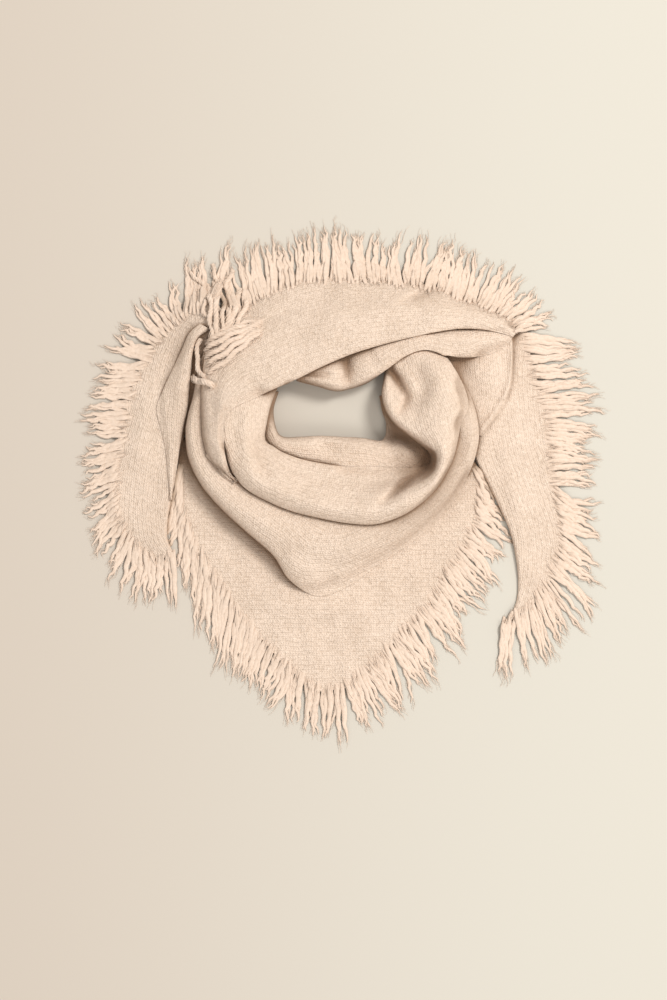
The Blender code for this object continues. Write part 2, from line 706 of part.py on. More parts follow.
def lock_stations(root, tip, number):
    """Where a lock starts, bends and ends on the plan, a little different for each lock."""
    reach = tip - root
    length = LOCK_SHORTEST + (1 - LOCK_SHORTEST) * (0.5 + 0.5 * math.sin(5.1 * number))
    aside = np.array([-reach[1], reach[0]]) / np.linalg.norm(reach)
    bend = root + reach * length * LOCK_MIDDLE + aside * LOCK_SWAY * math.sin(2.4 * number)
    end = root + reach * length - aside * LOCK_SWAY * math.sin(1.7 * number)
    return np.stack([root, bend, end])


def lock_widths(stations):
    """How wide each lock may be at each of its stations, clear of the locks beside it."""
    widths = np.full(stations.shape[:2], LOCK_WIDTH)
    for number, step in ((1, LOCK_TAPER[0]), (2, LOCK_TAPER[1])):
        ahead = stations[:, number] - stations[:, number - 1]
        ahead /= np.linalg.norm(ahead, axis=1, keepdims=True)
        beside = np.diff(stations[:, number], axis=0)
        apart = [np.abs(np.cross(side, beside)) for side in (ahead[:-1], ahead[1:])]
        nearest = np.pad(np.min(apart, axis=0), 1, constant_values=LOCK_WIDTH * 2)
        room = LOCK_SHARE * np.minimum(nearest[:-1], nearest[1:])
        widths[:, number] = np.minimum(LOCK_WIDTH * step, room)
    return widths


def ground_under(support, start, end, width):
    """The highest thing below a stretch of a lock."""
    reach = end - start
    aside = np.array([-reach[1], reach[0]]) / max(np.linalg.norm(reach), 1e-6)
    steps = np.linspace(0, 1, 9)[:, None, None]
    wide = np.linspace(-0.5, 0.5, 5)[None, :, None] * (width + 1.0)
    cells = np.rint(start + reach * steps + aside * wide).astype(int)
    return support[cells[..., 1], cells[..., 0]].max()


def backing_line(path, guides):
    """The backing's inner and outer edge, with a point at each side of each lock."""
    path = offset(path, FRINGE_GAP, guides[0])
    first, last = (nearest_place(path, guide[:2]) for guide in (guides[0], guides[-1]))
    if first > last:
        path = path[::-1]
        first, last = (nearest_place(path, guide[:2]) for guide in (guides[0], guides[-1]))
    locks = max(2, round((last - first) / FRINGE_PITCH))
    pitch = (last - first) / locks
    starts = first + pitch * np.arange(locks) + (pitch - LOCK_WIDTH) / 2
    sides = np.column_stack([starts, starts + LOCK_WIDTH])
    places = np.concatenate([[first], sides.ravel(), [last]])
    inner = clear_of_corners(path, places, guides[0])
    outer = offset(inner, BACKING_DEPTH, guides[0])
    roots = np.array([nearest_place(path, guide[:2]) for guide in guides])
    reach = np.array([(g.tip_x - g.root_x, g.tip_y - g.root_y) for g in guides])
    order = np.argsort(roots)
    middles = starts + LOCK_WIDTH / 2
    reaches = np.stack(
        [np.interp(middles, roots[order], column[order]) for column in reach.T], axis=1
    )
    return inner, outer, reaches


def clear_of_corners(path, places, guide):
    """Points along a polyline, moved out where a straight line between two would cut its corner."""
    points = read_path(path, places)
    outward = offset(points, 1.0, guide)[:, :2] - points[:, :2]
    reach = along(path)
    push = np.zeros(len(points))
    for number in range(len(points) - 1):
        corners = path[(reach > places[number]) & (reach < places[number + 1]), :2]
        line = points[number + 1, :2] - points[number, :2]
        aside = np.array([-line[1], line[0]]) / np.linalg.norm(line)
        aside *= np.sign(aside @ outward[number])
        cut = max([0.0, *((corners - points[number, :2]) @ aside)])
        push[number : number + 2] = np.maximum(push[number : number + 2], cut)
    points[:, :2] += outward * push[:, None]
    return points


def backing(body, inner, outer, floor):
    """The narrow strip that a row of locks hangs on. It gives the face at each lock's root."""
    count = len(inner)
    bmesh.ops.create_grid(body, x_segments=count - 1, y_segments=1, size=1.0)
    place = body.verts.layers.int.new("place")
    for point in body.verts:
        column = round((point.co.x + 1) / 2 * (count - 1))
        is_outer = point.co.y > 0
        side = outer if is_outer else inner
        point[place] = column + count * is_outer
        point.co = to_part(side[column, :2], floor[column])[0]
    raised = bmesh.ops.extrude_face_region(body, geom=body.faces[:])["geom"]
    for point in raised:
        if isinstance(point, bmesh.types.BMVert):
            point.co.z += BACKING_WALL * MM
    bmesh.ops.recalc_face_normals(body, faces=body.faces)
    roots = {}
    for face in body.faces:
        numbers = sorted({point[place] for point in face.verts})
        if len(numbers) == 2 and numbers[0] >= count:
            roots[numbers[0] - count] = face
    return [roots[left] for left in range(1, count - 1, 2)]


def lay_fringe(name, heap, support, edges, guides, clearance=LOCK_CLEARANCE):
    """A row of locks along a cloth's edge: one narrow backing, with each lock drawn out of it.

    `support` is what lay there before the cloth that the fringe hangs on.
    """
    inner, outer, reaches = backing_line(np.vstack(edges), guides)
    ground = support.support()
    floor = np.array(
        [ground_under(ground, a, b, LOCK_WIDTH) for a, b in zip(inner[:, :2], outer[:, :2])]
    )
    floor = np.maximum(inner[:, 2], np.maximum(floor, 0) + clearance)
    beside = np.pad(floor, 1, mode="edge")
    floor = np.maximum(floor, np.maximum(beside[:-2], beside[2:]) - BACKING_WALL / 2)

    body = bmesh.new()
    faces = backing(body, inner, outer, floor)
    heap.add(np.stack([inner[:, :2], outer[:, :2]]), np.stack([floor, floor]) + BACKING_WALL)
    roots = (outer[1:-1:2, :2] + outer[2:-1:2, :2]) / 2
    tips = (inner[1:-1:2, :2] + inner[2:-1:2, :2]) / 2 + reaches
    stations = np.array(
        [lock_stations(root, tip, number) for number, (root, tip) in enumerate(zip(roots, tips))]
    )
    widths = lock_widths(stations)
    for number, face in enumerate(faces):
        sides = slice(1 + 2 * number, 3 + 2 * number)
        line, top = outer[sides, :2], floor[sides] + BACKING_WALL
        for section in lock_sections(
            ground, line, floor[sides].mean(), stations[number], widths[number], clearance
        ):
            face = draw_out(body, face, *section)
            next_line, low, thickness = section
            next_top = np.full(2, low + thickness)
            heap.add(np.stack([line, next_line]), np.stack([top, next_top]))
            line, top = next_line, next_top
    mesh = bpy.data.meshes.new(name)
    body.to_mesh(mesh)
    body.free()
    return add_object(name, mesh)


def lock_sections(ground, line, level, stations, widths, clearance):
    """Where a lock bends and ends: its two sides on the plan, its underside and its thickness."""
    start, bend, end = stations
    under_bend = ground_under(ground, start, bend, LOCK_WIDTH) + clearance
    under_end = ground_under(ground, bend, end, LOCK_WIDTH) + clearance
    low_bend = max(under_bend, under_end, clearance)
    if under_bend > level:
        low_bend = max(low_bend, 2 * under_bend - level)
    lows = (low_bend, max(under_end, clearance))
    sections = []
    for number, (low, thin) in enumerate(zip(lows, LOCK_THINNING), start=1):
        reach = stations[number] - stations[number - 1]
        aside = np.array([-reach[1], reach[0]]) / np.linalg.norm(reach)
        aside *= np.sign(aside @ (line[1] - line[0]))
        half = aside * widths[number] / 2
        sides = np.stack([stations[number] - half, stations[number] + half])
        sections.append((sides, low, BACKING_WALL * thin))
    return sections


def draw_out(body, face, sides, low, thickness):
    """Extrudes one face of the backing to the next section of its lock."""
    new = bmesh.ops.extrude_discrete_faces(body, faces=[face])["faces"][0]
    ends = to_part(sides, np.array([low, low]))
    line = Vector(ends[1] - ends[0])
    corners = sorted(new.verts, key=lambda point: point.co.dot(line))
    for pair, end in ((corners[:2], ends[0]), (corners[2:], ends[1])):
        lower, upper = sorted(pair, key=lambda point: point.co.z)
        lower.co = end
        upper.co = end + np.array([0, 0, thickness * MM])
    return new


# ---- Objects -----------------------------------------------------------


def add_object(name, mesh):
    """Links a mesh as a named object with its own wool."""
    wool = bpy.data.materials.new(name + "_wool")
    wool.use_nodes = True
    shader = wool.node_tree.nodes["Principled BSDF"]
    colour = WOOL_SHADE if name == "hidden_layers" else WOOL
    shader.inputs["Base Color"].default_value = (*colour, 1.0)
    shader.inputs["Roughness"].default_value = WOOL_ROUGHNESS
    shader.inputs["Metallic"].default_value = 0.0
    mesh.materials.append(wool)
    made = bpy.data.objects.new(name, mesh)
    collection = bpy.data.collections.get("knit_shawl")
    collection.objects.link(made)
    return made


def strands(ends):
    """A short backing for loose strands, as an edge."""
    line = np.linspace(ends[0], ends[1], 6)
    return [np.column_stack([line, np.zeros(len(line))])]


def lay_shawl():
    """Lays every piece of the shawl, from the lowest to the highest."""
    heap = Heap()
    roll, hem = ROLL_RADIUS, HEM_RADIUS
    lay_hidden_layers(heap)
    lay_cloth("neck_inner_layer", heap, NECK_INNER_LAYER, 23, 3, roll_b=roll)

    before = heap.copy()
    bib = lay_cloth("front_bib", heap, FRONT_BIB, 18, 16)
    left = [edge_of(bib, "a"), edge_of(bib, "end")]
    lay_fringe("fringe_bib_left", heap, before, left, FRINGE_BIB_LEFT)
    lay_fringe("fringe_bib_right", heap, before, [edge_of(bib, "b")], FRINGE_BIB_RIGHT)

    before = heap.copy()
    tail = lay_cloth("right_tail", heap, RIGHT_TAIL, 25, 6, roll_a=hem)
    right = [edge_of(tail, "b"), edge_of(tail, "end")[::-1]]
    lay_fringe("fringe_right_tail", heap, before, right, FRINGE_RIGHT_TAIL)
    lay_cloth("right_tail_cover", heap, RIGHT_TAIL_COVER, 13, 4, roll_a=hem)

    before = heap.copy()
    tail = lay_cloth("left_tail", heap, LEFT_TAIL, 25, 6, roll_b=hem)
    left = [edge_of(tail, "a"), edge_of(tail, "end")]
    lay_fringe("fringe_left_tail", heap, before, left, FRINGE_LEFT_TAIL)
    lay_cloth("left_tail_fold", heap, LEFT_TAIL_FOLD, 15, 2, roll_a=hem, roll_b=hem)

    lay_cloth("outer_drape", heap, OUTER_DRAPE, 43, 5, roll_a=roll)
    lay_cloth("inner_drape", heap, INNER_DRAPE, 45, 6, roll_a=roll, roll_b=roll)
    lay_cloth("lower_back_layer", heap, LOWER_BACK_LAYER, 27, 3, roll_b=roll)

    before = heap.copy()
    band = lay_cloth("upper_band", heap, UPPER_BAND, 43, 6, roll_a=roll, roll_b=roll)
    lay_fringe("fringe_top", heap, before, [edge_of(band, "a")], FRINGE_TOP)

    before = heap.copy()
    across_strands = strands(KNOT_ACROSS_BACKING)
    lay_fringe("fringe_knot_across", heap, before, across_strands, KNOT_ACROSS, SEAM_GAP)
    before = heap.copy()
    down_strands = strands(KNOT_DOWN_BACKING)
    lay_fringe("fringe_knot_down", heap, before, down_strands, KNOT_DOWN, SEAM_GAP)
    return heap


def main():
    """Clears the scene and lays the shawl in it."""
    for old in list(bpy.data.objects):
        bpy.data.objects.remove(old, do_unlink=True)
    collection = bpy.data.collections.new("knit_shawl")
    bpy.context.scene.collection.children.link(collection)
    return lay_shawl()


main()
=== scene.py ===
"""Looks of a triangular knit shawl, wound once round a neck and laid down flat.

Every stretch of cloth is laid again on the laying plan of the CAD model, as a
thin shell with soft creases, and its fringe becomes locks of loose yarn. The
plan is seen from above, in millimetres: x runs to the right and y down, towards
the point of the bib.
"""

import logging
import math
from collections.abc import Iterator
from dataclasses import dataclass, field
from enum import Enum
from functools import cache
from typing import NamedTuple

import bmesh
import bpy
import numpy as np
from mathutils import Matrix, Vector


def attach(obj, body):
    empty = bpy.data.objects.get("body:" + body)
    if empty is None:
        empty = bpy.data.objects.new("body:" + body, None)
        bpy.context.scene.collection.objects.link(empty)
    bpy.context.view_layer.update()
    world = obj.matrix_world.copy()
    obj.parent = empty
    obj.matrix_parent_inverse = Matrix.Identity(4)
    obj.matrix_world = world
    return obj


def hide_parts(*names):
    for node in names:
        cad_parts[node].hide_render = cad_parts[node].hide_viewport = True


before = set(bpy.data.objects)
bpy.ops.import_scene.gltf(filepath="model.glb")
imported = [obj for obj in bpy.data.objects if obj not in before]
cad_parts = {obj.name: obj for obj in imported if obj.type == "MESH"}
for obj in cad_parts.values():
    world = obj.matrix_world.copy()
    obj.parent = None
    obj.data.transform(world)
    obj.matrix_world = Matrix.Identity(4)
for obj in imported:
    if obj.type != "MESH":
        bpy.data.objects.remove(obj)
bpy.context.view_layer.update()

LOG = logging.getLogger("shawl")

Table = tuple[tuple[float, ...], ...]
Colour = tuple[float, float, float]
Range = tuple[float, float]

MM = 0.001
TURN = 2 * math.pi
PLAN_WIDTH = 667
PLAN_DEPTH = 1000
ORIGIN_X = 341.2  # the part's origin on the laying plan
ORIGIN_Y = 484.6

CLOTH_WALL = 2.6  # mm, thickness of the knit
LAYER_GAP = 0.3  # mm of air between two layers
GRID_STEP = 2.0  # mm between the points of a laid cloth
TUCK = math.radians(58)  # how far a folded edge turns under itself
ROLL_POINTS = 10
PATH_STEPS = 32  # at which a crease or a blended stretch is read
FRINGE_PITCH = 8.6  # mm from one lock to the next, as in the CAD model


class Edge(Enum):
    """How wide an edge of a cloth rounds over, in millimetres."""

    FLAT = 0.0
    HEM = 3.0
    FOLD = 7.0


class Grain(Enum):
    """Which way the columns of stitches run."""

    ALONG = "along the strip"
    LEVEL = "across the plan"


class Side(Enum):
    """An edge of a laid cloth, as the rows and columns of its grid."""

    A = np.s_[:, 0]
    B = np.s_[:, -1]
    END = np.s_[-1]
    END_BACK = np.s_[-1, ::-1]
    START_BACK = np.s_[0, ::-1]


class Section(NamedTuple):
    """A cross-section of a strip of cloth: its edges a and b, its feet and its heights."""

    a_x: float
    a_y: float
    b_x: float
    b_y: float
    a_foot: float
    at_a: float
    quarter: float
    half: float
    three_quarters: float
    at_b: float
    b_foot: float


class Blend(NamedTuple):
    """A stretch of an edge, along three plan points, that thins out over a width and merges."""

    from_x: float
    from_y: float
    by_x: float
    by_y: float
    to_x: float
    to_y: float
    reach: float
    width: float


class Crease(NamedTuple):
    """A soft trough along three plan points; one with a depth below zero is a ridge."""

    from_x: float
    from_y: float
    by_x: float
    by_y: float
    to_x: float
    to_y: float
    depth: float
    width: float


class Strand(NamedTuple):
    """A thick strand over the crossing, through four plan points, and its lift off the cloth."""

    x_1: float
    y_1: float
    x_2: float
    y_2: float
    x_3: float
    y_3: float
    x_4: float
    y_4: float
    lift: float
    radius: float


# ---- The cloths' cross-sections, with the columns of Section ----

NECK_INNER_LAYER = (
    (262, 396, 279, 392, 15, 15, 17, 18, 17, 16, 3),
    (258, 414, 274, 411, 16, 16, 18, 20, 19, 18, 3),
    (262, 436, 277, 430, 16, 16, 19, 21, 22, 20, 3),
    (272, 456, 284, 437, 16, 16, 19, 22, 24, 22, 3),
    (292, 468, 300, 437, 16, 16, 18, 21, 24, 23, 3),
    (318, 474, 320, 436, 16, 16, 18, 20, 23, 23, 3),
    (345, 478, 342, 437, 16, 16, 18, 20, 22, 22, 3),
    (372, 480, 362, 438, 16, 16, 18, 19, 21, 20, 3),
    (404, 487, 382, 440, 15, 15, 16, 17, 17, 16, 3),
    (439, 463, 386, 425, 12, 12, 14, 14, 13, 12, 3),
    (424, 428, 382, 412, 10, 10, 12, 12, 12, 11, 3),
    (400, 400, 379, 396, 10, 10, 12, 12, 12, 12, 3),
)

FRONT_BIB = (
    (180, 437, 476, 462, 3, 3, 3, 3, 3, 3, 3),
    (178, 490, 482, 490, 3, 3, 3, 3, 3, 3, 3),
    (184, 520, 480, 520, 3, 3, 3, 3, 3, 3, 3),
    (196, 550, 464, 549, 3, 3, 4, 4, 3, 3, 3),
    (214, 580, 446, 578, 3, 3, 4, 5, 4, 3, 3),
    (236, 607, 430, 606, 3, 3, 4, 5, 5, 3, 3),
    (260, 637, 404, 632, 3, 3, 4, 3, 4, 3, 3),
    (284, 664, 378, 659, 3, 3, 3, 3, 3, 3, 3),
    (306, 682, 357, 678, 3, 3, 3, 3, 3, 3, 3),
    (322, 692, 345, 688, 3, 3, 3, 3, 3, 3, 3),
)

RIGHT_TAIL = (
    (492, 318, 519, 322, 0, 9, 9, 8, 7, 6, 6),
    (478, 345, 527, 343, 0, 9, 9, 8, 6, 5, 5),
    (470, 372, 534, 370, 0, 9, 9, 8, 6, 4, 4),
    (466, 400, 542, 398, 0, 9, 9, 8, 6, 4, 4),
    (466, 428, 551, 424, 0, 9, 9, 8, 6, 4, 4),
    (472, 452, 553, 450, 0, 9, 9, 8, 6, 4, 4),
    (485, 478, 556, 478, 0, 8, 9, 8, 6, 4, 4),
    (499, 507, 561, 507, 0, 8, 8, 7, 5, 4, 4),
    (510, 533, 563, 535, 0, 7, 7, 6, 5, 4, 4),
    (516, 560, 558, 560, 0, 6, 6, 5, 4, 4, 4),
    (518, 585, 548, 583, 0, 5, 5, 5, 4, 4, 4),
    (515, 605, 533, 604, 0, 4, 4, 4, 4, 4, 4),
    (503, 628, 513, 618, 3, 3, 3, 3, 3, 3, 3),
)

RIGHT_TAIL_COVER = (
    (513, 330, 455, 335, 0, 12, 13, 15, 17, 18, 18),
    (513.5, 352, 446, 352, 0, 12, 13, 14, 16, 17, 17),
    (513, 372, 448, 368, 0, 12, 13, 14, 15, 16, 16),
    (511, 389, 456, 388, 0, 12, 13, 14, 15, 15, 15),
    (504, 406, 464, 404, 0, 12, 13, 13, 14, 14, 14),
    (493, 422, 468, 420, 0, 12, 13, 13, 13, 13, 13),
    (481, 437, 470, 432, 0, 12, 12, 12, 12, 12, 12),
)

LEFT_TAIL = (
    (214, 298, 226, 318, 20, 20, 22, 23, 23, 23, 0),
    (196, 308, 218, 331, 15, 15, 19, 21, 22, 23, 0),
    (174, 324, 211, 340, 9, 9, 13, 17, 20, 21, 0),
    (154, 345, 207, 356, 5, 5, 9, 13, 16, 18, 0),
    (140, 368, 204, 376, 4, 4, 8, 11, 14, 15, 0),
    (129, 395, 200, 397, 4, 4, 7, 10, 12, 13, 0),
    (124, 422, 192, 418, 4, 4, 6, 8, 10, 11, 0),
    (120, 449, 182, 445, 4, 4, 6, 7, 8, 9, 0),
    (114, 474, 177, 470, 4, 4, 5, 6, 7, 7, 0),
    (115, 500, 172, 496, 4, 4, 5, 6, 7, 7, 0),
    (120, 522, 168, 520, 4, 4, 5, 6, 7, 7, 0),
    (129, 543, 168, 540, 3, 3, 4, 6, 7, 7, 0),
    (146, 560, 176, 556, 3, 3, 4, 5, 6, 6, 0),
)

LEFT_TAIL_FOLD = (
    (201, 325, 211, 331, 0, 22, 24, 25, 25, 24, 0),
    (190, 335, 199, 340, 0, 23, 25, 27, 28, 28, 0),
    (182, 352, 194, 354, 0, 20, 22, 24, 25, 25, 0),
    (173, 371, 192, 374, 0, 17, 19, 21, 22, 22, 0),
    (164, 390, 190, 393, 0, 14, 16, 18, 19, 19, 0),
    (157, 409, 188, 413, 0, 11, 13, 15, 16, 16, 0),
    (161, 428, 184, 430, 0, 10, 11, 12, 13, 13, 0),
    (166, 450, 180, 451, 0, 9, 9.5, 10, 10.5, 10.5, 0),
    (168, 474, 176.5, 474, 0, 8, 8, 8.5, 8.5, 8.5, 0),
    (171, 500, 171.8, 500, 0, 7, 7, 7, 7, 7, 0),
)

OUTER_DRAPE = (
    (205, 352, 221, 357, 0, 19, 21, 22, 22, 22, 22),
    (198, 374, 213, 376, 0, 20, 24, 25, 25, 25, 25),
    (194, 396, 208, 396, 0, 21, 25, 27, 27, 27, 27),
    (189, 416, 206, 416, 0, 23, 27, 28, 28, 28, 28),
    (186.5, 434, 207, 432, 0, 24, 28, 29, 29, 28, 28),
    (189, 458, 214, 447, 0, 25, 29, 30, 29, 28, 28),
    (201, 484, 228, 464, 0, 26, 30, 31, 30, 28, 28),
    (221, 508, 246, 478, 0, 26, 31, 31, 30, 28, 28),
    (247, 532, 270, 491, 0, 26, 31, 32, 31, 29, 29),
    (273, 555, 297, 502, 0, 24, 30, 32, 31, 30, 30),
    (290, 580, 320, 508, 3, 17, 27, 31, 31, 30, 30),
    (318, 596, 342, 511, 4, 8, 20, 28, 31, 30, 30),
    (350, 585, 362, 512, 6, 6, 16, 25, 30, 30, 30),
    (382, 562, 384, 508, 6, 6, 14, 23, 29, 30, 30),
    (410, 544, 404, 498, 6, 6, 14, 22, 28, 30, 30),
    (436, 521, 422, 484, 4, 8, 15, 23, 28, 30, 30),
    (456, 497, 437, 465, 0, 12, 18, 24, 28, 30, 30),
    (471, 468, 447, 445, 0, 16, 21, 25, 29, 30, 30),
    (478, 440, 452, 424, 0, 18, 23, 26, 30, 30, 30),
    (476, 416, 449, 404, 0, 19, 24, 28, 31, 30, 30),
    (468, 393, 443, 385, 0, 18, 23, 28, 30, 30, 30),
    (454, 371, 434, 370, 0, 16, 20, 26, 28, 28, 28),
    (441, 352, 424, 355, 0, 14, 18, 22, 24, 24, 24),
)

INNER_DRAPE = (
    (213, 402, 282, 380, 0, 30, 36, 36, 34, 32, 3),
    (214, 417, 272, 405, 0, 32, 40, 40, 36, 32, 0),
    (216, 434, 268, 422, 0, 34, 43, 42, 36, 30, 0),
    (224, 453, 266, 440, 0, 36, 44, 43, 36, 28, 0),
    (234, 473, 276, 448, 0, 38, 45, 43, 34, 28, 0),
    (247, 489, 284, 453, 0, 38, 46, 42, 33, 28, 0),
    (268, 501, 300, 459, 0, 38, 46, 40, 31, 27, 0),
    (292, 511, 318, 463, 0, 38, 46, 38, 30, 27, 0),
    (320, 518, 338, 466, 0, 38, 46, 38, 29, 27, 0),
    (348, 523, 360, 467, 0, 38, 46, 38, 28, 27, 0),
    (374, 524, 378, 467, 0, 38, 46, 40, 26, 27, 0),
    (398, 517, 396, 468, 0, 38, 47, 42, 26, 27, 0),
    (418, 505, 414, 468, 0, 38, 48, 44, 28, 26, 0),
    (434, 490, 426, 465, 0, 38, 49, 46, 32, 27, 0),
    (445, 473, 430, 461, 0, 38, 48, 48, 40, 30, 0),
    (452, 458, 428, 453, 0, 38, 48, 50, 44, 34, 0),
    (456, 442, 419, 445, 0, 37, 47, 50, 46, 38, 0),
    (460, 424, 406, 435, 0, 36, 47, 50, 46, 42, 0),
    (467, 408, 394, 425, 0, 36, 46, 49, 45, 42, 0),
    (463, 388, 385, 412, 0, 34, 45, 47, 38, 42, 0),
    (452, 368, 381, 395, 0, 30, 40, 42, 33, 38, 3),
    (441, 352, 384, 374, 0, 26, 32, 32, 28, 29, 3),
    (428, 337, 384, 354, 0, 20, 24, 25, 24, 23, 3),
)

LOWER_BACK_LAYER = (
    (292, 368, 297, 382, 26, 26, 30, 32, 32, 30, 3),
    (312, 358, 316, 387, 26, 26, 31, 33, 33, 31, 3),
    (330, 352, 335, 392, 26, 26, 31, 33, 33, 31, 3),
    (346, 348, 349, 390, 24, 24, 27, 28, 28, 28, 3),
    (364, 343, 367, 384, 26, 26, 31, 33, 33, 32, 3),
    (382, 338, 385, 372, 26, 26, 32, 34, 34, 33, 3),
    (400, 334, 405, 358, 26, 26, 31, 33, 33, 32, 0),
    (418, 328, 424, 352, 26, 26, 30, 32, 32, 31, 0),
    (436, 324, 445, 357, 24, 24, 28, 31, 31, 30, 0),
    (455, 321, 464, 359, 20, 20, 25, 29, 29, 27, 0),
    (475, 320, 485, 356, 18, 18, 22, 25, 25, 23, 0),
    (496, 325, 503, 348, 15, 15, 18, 20, 20, 19, 0),
    (508, 330, 512, 338, 14, 14, 15, 16, 16, 16, 0),
)

UPPER_BAND = (
    (523, 324, 512, 338, 10, 10, 15, 19, 22, 23, 0),
    (506, 314, 497, 334, 9, 9, 16, 22, 25, 26, 0),
    (484, 303, 478, 331, 6, 6, 15, 22, 27, 28, 0),
    (460, 294, 456, 331, 6, 6, 17, 26, 31, 32, 0),
    (435, 287, 432, 335, 6, 6, 18, 29, 34, 35, 0),
    (408, 282, 405, 341, 6, 6, 20, 31, 36, 38, 0),
    (380, 278, 378, 348, 6, 6, 20, 32, 38, 40, 0),
    (350, 277, 350, 357, 6, 6, 21, 33, 40, 42, 0),
    (320, 278, 322, 369, 6, 6, 21, 33, 40, 43, 0),
    (292, 281, 300, 380, 6, 6, 21, 33, 40, 44, 0),
    (266, 291, 282, 388, 7, 7, 22, 34, 41, 45, 0),
    (249, 303, 266, 395, 9, 9, 24, 35, 42, 46, 0),
    (232, 312, 251, 402, 16, 16, 29, 37, 43, 47, 0),
    (215, 331, 238, 408, 24, 24, 33, 39, 44, 47, 0),
    (206, 358, 229, 416, 0, 28, 36, 41, 46, 46, 0),
    (203, 390, 226, 430, 0, 31, 39, 42, 45, 44, 0),
    (203, 420, 226, 448, 0, 32, 40, 43, 45, 44, 0),
    (204.5, 440, 228, 460, 0, 32, 40, 43, 45, 43, 0),
    (210, 457, 230, 468, 0, 30, 38, 42, 43, 40, 0),
    (221, 470, 232.5, 475, 0, 28, 32, 35, 36, 36, 0),
    (232, 478, 235, 480, 0, 24, 26, 27, 28, 28, 0),
    (237, 482, 237.8, 482.5, 0, 20, 20, 20, 20, 20, 0),
)

# ---- The ring's cross-sections: in_x, in_y, out_x, out_y ----

HIDDEN_LAYERS = (
    (264, 412, 220, 412), (269, 438, 226, 446), (284, 448, 246, 476), (302, 452, 272, 499),
    (326, 453, 306, 516), (350, 453, 346, 520), (374, 452, 382, 511), (398, 444, 412, 489),
    (408, 426, 434, 461), (407, 406, 444, 428), (402, 386, 438, 390), (396, 368, 430, 356),
    (382, 356, 408, 325), (350, 354, 360, 309), (320, 360, 312, 309), (296, 369, 272, 322),
    (276, 384, 242, 352), (265, 397, 226, 384),
)

# ---- Guide locks: root_x, root_y, tip_x, tip_y ----

FRINGE_BIB_LEFT = (
    (178, 464, 170, 508), (179, 492, 166, 540), (186, 512, 172, 563), (190, 530, 187, 592),
    (205, 565, 197, 640), (226, 594, 222, 665), (251, 624, 236, 686), (272, 651, 255, 700),
    (285, 668, 265, 712), (302, 680, 297, 738), (315, 687, 310, 742), (328, 691, 330, 745),
    (344, 689, 350, 748),
)

FRINGE_BIB_RIGHT = (
    (346, 687, 363, 747), (357, 675, 382, 735), (369, 664, 400, 728), (385, 652, 412, 715),
    (401, 632, 436, 692), (415, 618, 447, 672), (430, 605, 464, 650), (440, 590, 472, 632),
    (447, 575, 482, 612), (455, 560, 492, 600), (464, 548, 500, 588), (474, 538, 508, 568),
    (481, 520, 510, 545), (482, 504, 508, 526), (481, 486, 500, 510), (478, 468, 491, 497),
)

FRINGE_RIGHT_TAIL = (
    (524, 335, 585, 340), (530, 355, 590, 355), (535, 375, 590, 370), (541, 395, 603, 392),
    (546, 412, 606, 413), (551, 428, 600, 436), (553, 445, 598, 456), (553, 472, 602, 470),
    (559, 493, 600, 508), (561, 514, 601, 535), (563, 535, 600, 560), (559, 556, 596, 585),
    (555, 568, 596, 608), (550, 577, 590, 632), (544, 594, 575, 650), (536, 602, 560, 660),
    (529, 609, 545, 669), (520, 615, 528, 676), (513, 619, 510, 680), (503, 628, 488, 688),
)

FRINGE_LEFT_TAIL = (
    (214, 298, 240, 228), (205, 303, 212, 237), (190, 313, 188, 250), (178, 322, 158, 283),
    (165, 333, 130, 298), (156, 342, 116, 317), (146, 359, 94, 350), (133, 384, 86, 384),
    (127, 403, 80, 405), (124, 425, 78, 428), (121, 445, 80, 452), (116, 466, 80, 478),
    (113, 485, 76, 504), (115, 500, 82, 525), (118, 515, 88, 547), (124, 530, 98, 566),
    (130, 545, 116, 592), (140, 555, 134, 604), (152, 562, 150, 612), (165, 563, 165, 618),
    (178, 558, 180, 620),
)

FRINGE_TOP = (
    (516, 332, 553, 323), (522, 323, 562, 311), (514, 319, 549, 295), (504, 312, 532, 275),
    (484, 302, 508, 258), (460, 294, 476, 245), (435, 287, 445, 232), (408, 282, 412, 234),
    (380, 278, 378, 230), (350, 277, 347, 222), (320, 278, 317, 221), (292, 281, 287, 232),
    (270, 289, 262, 240), (254, 299, 244, 246), (240, 307, 228, 258), (231, 312, 214, 266),
)

# ---- Creases by the cloth they lie in, with the columns of Crease ----

